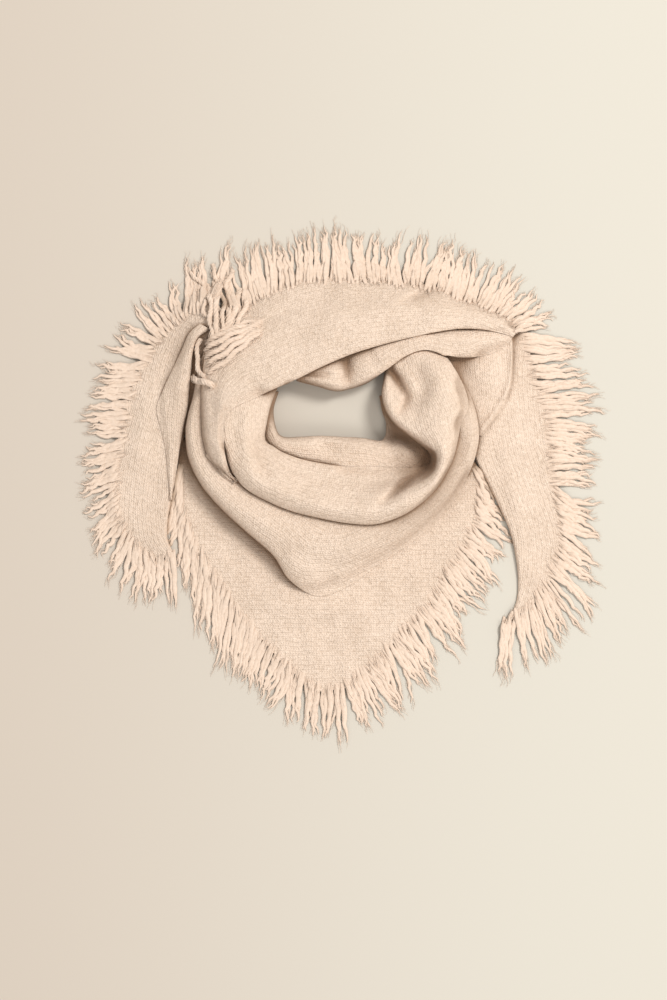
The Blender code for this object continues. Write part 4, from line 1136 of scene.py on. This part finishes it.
@dataclass
class Fringe:
    """The fringe of one edge: soft locks of wavy yarns that run together to points."""

    node: str
    guides: Table
    seed: int
    sides: tuple[Side, ...]  # of the cloth that carries it
    fingers: int = 3
    wisps: int = 4
    points: int = 20
    inset: float = 5.0  # mm that a lock starts inside the edge, about
    flat: float = 0.36  # height over width of a soft finger
    parted: float = 0.55  # the share of locks that start a new clump
    clump_reach: Range = (0.86, 1.06)  # over the guides'
    finger_reach: Range = (0.68, 1.0)  # over its clump's
    curl: Range = (0.5, 1.7)  # mm to each side
    curls: Range = (1.3, 3.0)  # from root to tip
    core: Range = (1.9, 2.8)  # mm, the radius of a finger
    wisp: Range = (0.28, 0.46)  # mm, the radius of a wisp
    raised: float = 0.9  # mm at most, half way

    def locks(self, path: np.ndarray) -> tuple[np.ndarray, np.ndarray]:
        """Where each lock starts on the edge and how it reaches out.

        Args:
            path: the cloth's edge, plan points and heights.

        Returns:
            (locks, 3) roots and (locks, 2) reaches.
        """
        reach = reach_of(path[:, :2])
        fine = np.arange(0, reach[-1], 0.5)
        line = np.stack([np.interp(fine, reach, column) for column in path.T], axis=1)
        guides = np.array(self.guides, float)
        roots, tips = guides[:, :2], guides[:, 2:]
        at = np.array([fine[np.linalg.norm(line[:, :2] - root, axis=1).argmin()] for root in roots])
        order = np.argsort(at)
        count = max(2, round((at.max() - at.min()) / FRINGE_PITCH))
        middles = at.min() + (at.max() - at.min()) * (np.arange(count) + 0.5) / count
        reaches = (tips - roots)[order]
        return (
            np.stack([np.interp(middles, reach, column) for column in path.T], axis=1),
            np.stack([np.interp(middles, at[order], column) for column in reaches.T], axis=1),
        )

    def paths(self, roots: np.ndarray, reaches: np.ndarray) -> tuple[np.ndarray, np.ndarray, np.ndarray]:
        """The plan of every yarn: each lock has a few soft fingers, each with fine wisps round it.

        Args:
            roots: where each lock starts.
            reaches: how it reaches out.

        Returns:
            Plans (locks, fingers, yarns, points, 2), radii and lifts, in millimetres; the
            first yarn of each finger is its thick core.
        """
        draw = np.random.default_rng(self.seed)
        count, many, t = len(roots), 1 + self.wisps, np.linspace(0, 1, self.points)
        lock, finger, yarn = (count, 1, 1), (count, self.fingers, 1), (count, self.fingers, many, 1)
        ahead = reaches / np.linalg.norm(reaches, axis=1, keepdims=True)
        aside = sideways_of(ahead)

        # Neighbouring locks run together in clumps, each clump with its own length.
        clump = np.cumsum(draw.random(count) < self.parted)
        middle = np.stack([np.bincount(clump, roots[:, k]) for k in (0, 1)], axis=1)
        middle = (middle / np.maximum(np.bincount(clump), 1)[:, None])[clump]
        gather = ((middle - roots[:, :2]) * aside).sum(axis=1) * draw.uniform(0.1, 0.6, count)
        reach = draw.uniform(*self.clump_reach, clump.max() + 1)[clump]
        full = np.linalg.norm(reaches, axis=1)[:, None, None] * reach[:, None, None]
        full = full * draw.uniform(*self.finger_reach, finger)

        # The fingers' cores lean, bow and curl along their share t of the way.
        place = np.linspace(-0.4, 0.4, self.fingers)[:, None] + draw.normal(0, 0.07, finger)
        lean = gather[:, None, None] + draw.normal(0, 2.2, lock) + draw.normal(0, 2.0, finger)
        bow = draw.normal(0, 1.8, lock) + draw.normal(0, 1.3, finger)
        curl, rate = draw.uniform(*self.curl, finger), draw.uniform(*self.curls, finger)
        phase = draw.uniform(0, TURN, finger)
        thick = draw.uniform(*self.core, finger) * (1.2 - 0.35 * t) * (1 - t**2.8) ** 0.7
        thick = thick * np.minimum(1, 0.5 + 2.2 * t)
        turn = TURN * rate * (t + 0.35 * t**2) + phase
        sideways = place * FRINGE_PITCH * (1 - 0.2 * t) + lean * t**1.4 + bow * np.sin(math.pi * t)
        sideways += curl * (t**0.7 * np.sin(turn) + 0.4 * t**2 * np.sin(2.3 * turn))
        forward = full * t - self.inset * draw.uniform(0.2, 1.6, finger) * (1 - t)
        forward += 0.7 * curl * t * np.cos(turn)

        # The wisps wind round their core and stray from it towards the tip.
        core = np.arange(many)[:, None] == 0
        thick = thick[:, :, None]
        angle = TURN * (np.arange(many)[:, None] / self.wisps + draw.uniform(0.3, 1.4, yarn) * t)
        away = np.where(core, 0, thick * draw.uniform(0.4, 0.95, yarn))
        stray = np.where(core, 0, draw.normal(0, 1.9, yarn) * t**3)
        sideways = sideways[:, :, None] + away * np.cos(angle) + stray
        stretch = np.where(core, 1, draw.uniform(0.88, 1.14, yarn))
        shift = np.where(core, 0, draw.uniform(-0.8, 0.6, yarn) * self.inset * (1 - t))
        forward = forward[:, :, None] * stretch + shift
        plan = roots[:, None, None, None, :2] + ahead[:, None, None, None] * forward[..., None]
        plan = plan + aside[:, None, None, None] * sideways[..., None]
        wisp = draw.uniform(*self.wisp, yarn) * (1 - 0.75 * t**2) * np.minimum(1, 0.3 + 3 * t)
        lift = draw.uniform(0, self.raised, (*finger, 1)) * np.sin(math.pi * t) ** 0.7
        above = self.flat * (thick + away * np.sin(angle)) - wisp
        lift = np.maximum(lift + np.where(core, 0, above), 0)
        sunk = 2.4 * self.flat * thick * np.clip(1 - 6 * t, 0, 1)  # the roots, into the cloth
        return plan, np.where(core, thick, wisp), lift - sunk

    def lay(self, cloth: np.ndarray, heap: Heap) -> bpy.types.Object:
        """Draws the yarns of every lock.

        Args:
            cloth: the grid of points of the cloth that carries this fringe.
            heap: all that lies below it.

        Returns:
            The fringe's object.
        """
        edge = np.vstack([cloth[side.value] for side in self.sides])
        plan, radius, lift = self.paths(*self.locks(edge))
        radius = np.maximum(radius, 0.08)
        tall = radius.copy()
        tall[:, :, 0] *= self.flat
        points = lifted(plan, np.maximum(self.rest(heap.under(plan)) + LAYER_GAP + tall + lift, tall))
        both = bmesh.new()
        for pick, sides, flat in ((np.s_[:, :, 0], 1, self.flat), (np.s_[:, :, 1:], 0, 1.0)):
            paths, radii = points[pick].reshape(-1, self.points, 3), radius[pick].reshape(-1, self.points)
            both.from_mesh(yarns(paths, radii, sides, flat))
        mesh = mesh_of(both, self.node)
        mesh.shade_smooth()
        return add_piece(self.node, mesh, YARN)

    @staticmethod
    def rest(ground: np.ndarray) -> np.ndarray:
        """Lets limp yarns come down from a step over some millimetres.

        Args:
            ground: the height of the ground along each yarn.

        Returns:
            The height at which the yarn lies.
        """
        height = np.maximum(ground, 0)
        for _ in range(4):
            before = np.concatenate([height[..., :1], height[..., :-1]], axis=-1)
            height = np.maximum(height, before * 0.68)
        return height


# ---- Cloth ----


@dataclass
class Rim:
    """One rolled edge of a cloth; where it is blended it thins out and merges with what lies below."""

    edge: Edge
    line: np.ndarray  # its plan points
    foot: np.ndarray  # the height at which it ends in each row
    beside: np.ndarray  # the cloth's height just inside it
    blends: tuple[Blend, ...]
    width: np.ndarray  # the cloth's width in each row
    heap: Heap  # all that lies below
    widest: float = 0.3  # of the cloth's width
    tucked: Range = (3.0, 10.0)  # mm of height from which an edge begins to tuck, and tucks in full
    thinnest: float = 0.04  # of the wall, where it is blended

    def __post_init__(self) -> None:
        """Works out how the edge rolls in each row."""
        self.soft = np.zeros((len(self.line), 1))
        self.radius = np.full((len(self.line), 1), self.edge.value)
        for blend in self.blends:
            apart, _ = from_path(self.line, route(blend))
            soft = np.exp(-((apart / blend.reach) ** 4))[:, None]
            self.radius += (blend.width - self.radius) * soft
            self.soft = np.maximum(self.soft, soft)
        self.radius = np.minimum(self.radius, self.widest * self.width)
        below = self.heap.under(self.line) + LAYER_GAP
        merged = self.soft[:, 0]
        self.foot = smoothed(np.maximum(self.foot, below)) * (1 - merged) + below * merged
        low, high = self.tucked
        tuck = np.clip((self.beside - self.foot - low) / (high - low), 0, 1)[:, None]
        start = -TUCK * tuck * (1 - self.soft)
        self.turns = start + (math.pi / 2 - start) * np.linspace(0, 1, ROLL_POINTS)

    def places(self) -> np.ndarray:
        """How far inside the edge each rolled column lies."""
        if self.edge is Edge.FLAT:
            return np.zeros((len(self.line), 1))
        return self.radius * (1 - np.cos(self.turns))

    def turn_down(self, height: np.ndarray, thickness: np.ndarray) -> None:
        """Rounds the edge over to its foot, and a little under itself.

        Args:
            height: the rolled columns, from the edge inwards, changed in place.
            thickness: their share of the wall's thickness, changed in place.
        """
        if self.edge is Edge.FLAT:
            return
        foot = np.minimum(self.foot, height[:, 0])[:, None]
        sine = np.sin(self.turns)
        inside = 1 - np.cos(self.turns)
        rise = (sine - sine[:, :1]) / (1 - sine[:, :1]) * (1 - self.soft)
        rise += inside**2 * (3 - 2 * inside) * self.soft
        height[:] = foot + (height - foot) * rise
        thickness[:] = 1 - self.soft * (1 - np.clip(inside, self.thinnest, 1))


@dataclass
class Cloth:
    """One stretch of the shawl's cloth, laid on the heap as a thin shell."""

    node: str
    table: Table
    rests_on: str
    edge_a: Edge = Edge.FLAT
    edge_b: Edge = Edge.FLAT
    grain: Grain = Grain.ALONG
    unevenness: float = 0.5  # mm
    step: float = GRID_STEP
    blend_a: tuple[Blend, ...] = ()
    blend_b: tuple[Blend, ...] = ()
    fringes: tuple[Fringe, ...] = ()
    least: float = 0.31  # of its flat rectangle that a strip fills
    points: np.ndarray = field(init=False, repr=False)

    def lay(self, heap: Heap) -> list[bpy.types.Object]:
        """Lays the cloth on the heap, with its fringes.

        Args:
            heap: all that lies there already; this cloth is added to it.

        Returns:
            The cloth's object and its fringes'.
        """
        plan, height, thickness = self.surface(heap)
        normal = normals_of(lifted(plan, height))
        upright = normal[..., 2] / np.maximum(np.linalg.norm(normal, axis=-1), 1e-9)
        inner = height - CLOTH_WALL * thickness * upright * np.sign(upright.mean())
        height = height + heap.settle(plan, np.minimum(inner, height), thickness)
        self.points = lifted(plan, height)
        heap.add(self.points)
        piece = add_grid(self.node, self.points, self.own_places(), thickness)
        wall = piece.modifiers.new("wall", "SOLIDIFY")
        wall.thickness = CLOTH_WALL * MM
        wall.offset = -1.0
        wall.vertex_group = "thickness"
        fringes = [fringe.lay(self.points, heap) for fringe in self.fringes]
        self.declare()
        return [piece, *fringes]

    def surface(self, heap: Heap) -> tuple[np.ndarray, np.ndarray, np.ndarray]:
        """Works out the upper surface before it settles.

        Args:
            heap: all that lies there already.

        Returns:
            A grid of plan points, their heights, and their share of the wall's thickness.
        """
        table = np.array(self.table, float)
        length = max(reach_of(table[:, :2])[-1], reach_of(table[:, 2:4])[-1])
        rows = between(table, np.linspace(0, len(table) - 1, round(length / self.step) + 1))
        row = Section(*rows.T)
        start, end = rows[:, :2], rows[:, 2:4]
        width = np.linalg.norm(end - start, axis=1, keepdims=True)
        rims = (
            Rim(self.edge_a, start, row.a_foot, row.at_a, self.blend_a, width, heap),
            Rim(self.edge_b, end, row.b_foot, row.at_b, self.blend_b, width, heap),
        )
        near, far = (rim.places() for rim in rims)
        middle = width - near[:, -1:] - far[:, -1:]
        count = max(round(float(middle.max()) / self.step), 3)
        middle = near[:, -1:] + middle * np.linspace(0, 1, count + 1)[1:-1]
        places = np.concatenate([near, middle, (width - far)[:, ::-1]], axis=1)
        heights = rows[:, 5:10]
        height = across(heights, (heights.shape[1] - 1) * places / width)
        plan = start[:, None] + (end - start)[:, None] * (places / width)[..., None]
        height -= self.creases(plan)
        height += self.unevenness * waves(plan, len(self.node) * 7 + len(table), 38)
        height += self.unevenness * 0.4 * waves(plan, len(table), 15)
        thickness = np.ones(height.shape)
        for rim, side in zip(rims, (np.s_[: near.shape[1]], np.s_[: -far.shape[1] - 1 : -1])):
            rim.turn_down(height[:, side], thickness[:, side])
        return plan, height, thickness

    def creases(self, plan: np.ndarray) -> np.ndarray:
        """How deep the cloth's creases are.

        Args:
            plan: plan points.

        Returns:
            The depth at each of them.
        """
        total = np.zeros(plan.shape[:-1])
        for crease in map(Crease._make, CREASES.get(self.node, ())):
            apart, share = from_path(plan, route(crease))
            fade = np.sin(math.pi * np.clip(share, 0.02, 0.98)) ** 0.6
            total += crease.depth * fade * np.exp(-((apart / crease.width) ** 2))
        return total

    def own_places(self) -> np.ndarray:
        """The cloth's own coordinates, which the stitches follow.

        Returns:
            How far each point lies along the columns of stitches and across them.
        """
        if self.grain is Grain.LEVEL:
            return self.points[..., :2]
        middle = self.points.shape[1] // 2
        along = reach_of(self.points[:, middle])
        over = reach_of(self.points.transpose(1, 0, 2)).T
        over = over - over[:, middle : middle + 1]
        return np.stack([np.broadcast_to(along[:, None], over.shape), over], axis=-1)

    def declare(self) -> None:
        """Works out how large this stretch was cut, before it was laid, and keeps nothing of it.
        """
        points = self.points * MM
        along = reach_of(points)[-1]
        over = reach_of(points.transpose(1, 0, 2))[-1]
        flat = (round(float(over.max()), 3), round(float(along.max()), 3))
        area = float(over.mean()) * float(along.mean())
        area = min(max(area, self.least * flat[0] * flat[1]), flat[0] * flat[1])
        area = round(area, 4)


@dataclass
class Ring:
    """The layers inside the neck ring: flat below, round above, with the layers' edges."""

    node: str = "hidden_layers"
    crest: float = 12.0  # mm, the height of the ring
    ripple: float = 0.012  # of its width, at each layer's edge
    sections: int = 180
    points: int = 28  # over the top of each section

    def lay(self, heap: Heap) -> list[bpy.types.Object]:
        """Lays the ring on the heap.

        Args:
            heap: all that lies there already; the ring is added to it.

        Returns:
            The ring's object, alone.
        """
        places = np.linspace(0, len(HIDDEN_LAYERS), self.sections + 1)
        rows = between(HIDDEN_LAYERS, places, closed=True)[:, None]
        turn = np.linspace(0, math.pi, self.points)
        start, end = rows[..., :2], rows[..., 2:]
        layers = self.ripple * np.abs(np.sin(4 * turn))
        share = (1 - np.cos(turn)) / 2 * (1 - 2 * layers) + layers
        plan = start + (end - start) * share[:, None]
        top = lifted(plan, np.broadcast_to(self.crest * np.sin(turn) ** 0.8, plan.shape[:2]))
        shell = np.concatenate([top, top[:, :1]], axis=1)
        along, over = np.arange(len(shell)) * 3.0, np.arange(shell.shape[1]) * 2.5
        piece = add_grid(self.node, shell, np.stack(np.meshgrid(along, over, indexing="ij"), axis=-1))
        body = bmesh.new()
        body.from_mesh(piece.data)
        bmesh.ops.remove_doubles(body, verts=body.verts, dist=1e-6)
        bmesh.ops.recalc_face_normals(body, faces=body.faces)
        body.to_mesh(piece.data)
        body.free()
        heap.add(top)
        return [piece]


# ---- Strands ----


@dataclass
class Strands:
    """The thick strands over the crossing, each twisted from three plies and some loose fibres."""

    node: str
    strands: Table
    seed: int
    plies: int = 3
    fibres: int = 6
    points: int = 34
    lay_length: float = 11.0  # mm for one turn of a ply
    loose_length: Range = (14.0, 30.0)  # mm for one turn of a fibre
    sway: float = 23.0  # mm for one wave of a strand
    fibre: float = 0.34  # mm, a fibre's radius

    def lay(self, heap: Heap) -> list[bpy.types.Object]:
        """Draws every strand.

        Args:
            heap: all that lies below them.

        Returns:
            The strands' object, alone.
        """
        draw = np.random.default_rng(self.seed)
        paths, radii = [], []
        t = np.linspace(0, 1, self.points)
        ends = np.abs(2 * t - 1)  # 1 at both ends and 0 half way
        for strand in map(Strand._make, self.strands):
            line = between(route(strand), t * 3)
            ahead = np.gradient(line, axis=0)
            ahead /= np.linalg.norm(ahead, axis=1, keepdims=True)
            aside = sideways_of(ahead)
            ground = heap.under(line)
            for _ in range(3):
                ground = np.maximum(ground, sum(beside(ground)) / 2)
            length, start = reach_of(line)[-1], draw.uniform(0, 6)
            line = line + aside * (0.9 * np.sin(TURN * (length / self.sway * t) + start))[:, None]
            for ply in range(self.plies + self.fibres):
                rope = ply < self.plies
                turns = length / (self.lay_length if rope else draw.uniform(*self.loose_length))
                angle = TURN * (turns * t + ply / self.plies) + start
                away = strand.radius * (0.52 if rope else draw.uniform(0.8, 1.15))
                stray = draw.normal(0, 0.2 if rope else 1.6) * ends**2
                plan = line + aside * (away * np.sin(angle) + stray)[:, None]
                radius = (0.62 * strand.radius if rope else self.fibre) * (1 - 0.45 * ends**3)
                up = strand.lift + strand.radius + 0.8 * away * np.cos(angle)
                up -= (strand.lift + 1.8 * strand.radius) * ends**8
                paths.append(lifted(plan, np.maximum(ground + up, radius)))
                radii.append(radius)
        return [add_piece(self.node, yarns(np.array(paths), np.array(radii), 1), YARN)]


# ---- The shawl ----


BAND_TIP = Blend(229, 476, 233, 479, 238, 483, 9, 6)
BAND_INSIDE = (Blend(254, 400, 231, 409, 228, 440, 12, 13), Blend(500, 334, 506, 336, 512, 338, 10, 9))

PIECES = (  # from the lowest to the highest
    Cloth(
        "front_bib", FRONT_BIB, "hidden_layers", grain=Grain.LEVEL, unevenness=0.6, step=2.8,
        fringes=(
            Fringe("fringe_bib_left", FRINGE_BIB_LEFT, 11, (Side.A, Side.END)),
            Fringe("fringe_bib_right", FRINGE_BIB_RIGHT, 12, (Side.B,)),
        ),
    ),
    Ring(),
    Cloth("neck_inner_layer", NECK_INNER_LAYER, "hidden_layers", edge_b=Edge.FOLD),
    Cloth(
        "right_tail", RIGHT_TAIL, "front_bib", Edge.HEM,
        fringes=(Fringe("fringe_right_tail", FRINGE_RIGHT_TAIL, 13, (Side.B, Side.END_BACK)),),
    ),
    Cloth(
        "right_tail_cover", RIGHT_TAIL_COVER, "right_tail", Edge.HEM, step=1.5,
        blend_a=(Blend(513, 340, 512, 385, 480, 438, 60, 3.5),),
    ),
    Cloth(
        "left_tail", LEFT_TAIL, "front_bib", edge_b=Edge.HEM,
        fringes=(Fringe("fringe_left_tail", FRINGE_LEFT_TAIL, 14, (Side.A, Side.END)),),
    ),
    Cloth(
        "left_tail_fold", LEFT_TAIL_FOLD, "left_tail", Edge.HEM, Edge.HEM,
        blend_a=(Blend(156, 411, 166, 450, 170, 500, 15, 9),),
        blend_b=(Blend(177, 466, 174, 484, 171, 500, 11, 4),),
    ),
    Cloth(
        "outer_drape", OUTER_DRAPE, "front_bib", Edge.FOLD, unevenness=0.7,
        blend_a=(Blend(330, 596, 408, 566, 462, 496, 25, 17),),
    ),
    Cloth(
        "inner_drape", INNER_DRAPE, "outer_drape", Edge.FOLD, Edge.FOLD, unevenness=0.7,
        blend_a=(Blend(467, 396, 465, 404, 463, 412, 20, 13),),
        blend_b=(Blend(352, 469, 390, 471, 424, 466, 14, 11),),
    ),
    Cloth(
        "lower_back_layer", LOWER_BACK_LAYER, "inner_drape", edge_b=Edge.FOLD,
        blend_b=(Blend(486, 354, 500, 348, 515, 338, 12, 12),),
    ),
    Cloth(
        "upper_band", UPPER_BAND, "lower_back_layer", Edge.FOLD, Edge.FOLD, unevenness=0.8,
        blend_a=(BAND_TIP,),
        blend_b=(*BAND_INSIDE, BAND_TIP),
        fringes=(Fringe("fringe_top", FRINGE_TOP, 15, (Side.START_BACK, Side.A)),),
    ),
    Strands("fringe_knot_across", KNOT_ACROSS_STRANDS, 16),
    Strands("fringe_knot_down", KNOT_DOWN_STRANDS, 17),
)


def lay_shawl() -> None:
    """Lays every piece of the shawl on the heap, and paints shade into its folds once all is laid."""
    heap = Heap()
    laid = [made for piece in PIECES for made in piece.lay(heap)]
    for made in laid:
        shade(made, heap)


# ---- The studio ----


class Studio:
    """A pale floor with painted shade on its left, soft light from the upper right, and a camera straight
    above.
    """

    EYE = (333.5, 500.0, 2361.0)  # over the plan, at the height where a millimetre is a pixel

    def floor(self) -> None:
        """Adds a wide pale floor, with painted shade that darkens it on the left."""
        values = {"Roughness": 0.95, "Specular IOR Level": 0.1}
        paper, tree, inputs = new_material("pale_paper", values)
        place = tree.node("SeparateXYZ", {0: tree.node("TexCoord", {})["Object"]})
        # Painted shade: the floor's colour darkens from right to left.
        limits = {"Value": place["X"], "From Min": -0.5, "From Max": 0.3}
        aside = tree.node("MapRange", limits, interpolation_type="SMOOTHSTEP")[0]
        tree.feed(inputs["Base Color"], tree.blend(aside, (0.685, 0.595, 0.505), (0.73, 0.69, 0.605)))
        body = bmesh.new()
        bmesh.ops.create_grid(body, x_segments=8, y_segments=8, size=6.0)
        made = placed("studio_floor", mesh_of(body, "studio_floor"))
        made.data.materials.append(paper)
        made.location.z = -0.0005

    def light(
        self, name: str, place: tuple[float, float, float], energy: float, size: float, colour: Colour
    ) -> None:
        """Adds an area light that faces the shawl.

        Args:
            name: the light's name.
            place: where it stands, in metres.
            energy: its power in watts.
            size: its width in metres.
            colour: its colour.
        """
        data = bpy.data.lights.new(name, "AREA")
        data.energy, data.size, data.color = energy, size, colour
        made = placed(name, data)
        made.location = place
        made.rotation_euler = (-Vector(place)).to_track_quat("-Z", "Y").to_euler()

    def build(self) -> None:
        """Sets up the floor, the lights, the sky and the camera."""
        self.floor()
        self.light("key", (1.9, 1.6, 3.4), 101.0, 1.0, (1.0, 0.985, 0.96))
        self.light("side", (1.1, -1.7, 2.0), 16.0, 1.2, (1.0, 0.98, 0.95))
        scene = bpy.context.scene
        scene.world = bpy.data.worlds.new("studio")
        scene.world.use_nodes = True
        sky = scene.world.node_tree.nodes["Background"]
        sky.inputs["Color"].default_value = (1.0, 0.985, 0.965, 1.0)
        sky.inputs["Strength"].default_value = 0.56
        scene.view_settings.view_transform = "Standard"
        data = bpy.data.cameras.new("camera")
        data.lens, data.sensor_width = 85.0, 36.0
        scene.camera = placed("camera", data)
        scene.camera.location = to_part(np.array(self.EYE))


def main() -> None:
    """Builds the shawl and its studio."""
    logging.basicConfig(level=logging.INFO, format="%(message)s")
    lay_shawl()
    Studio().build()


if __name__ == "__main__":
    main()
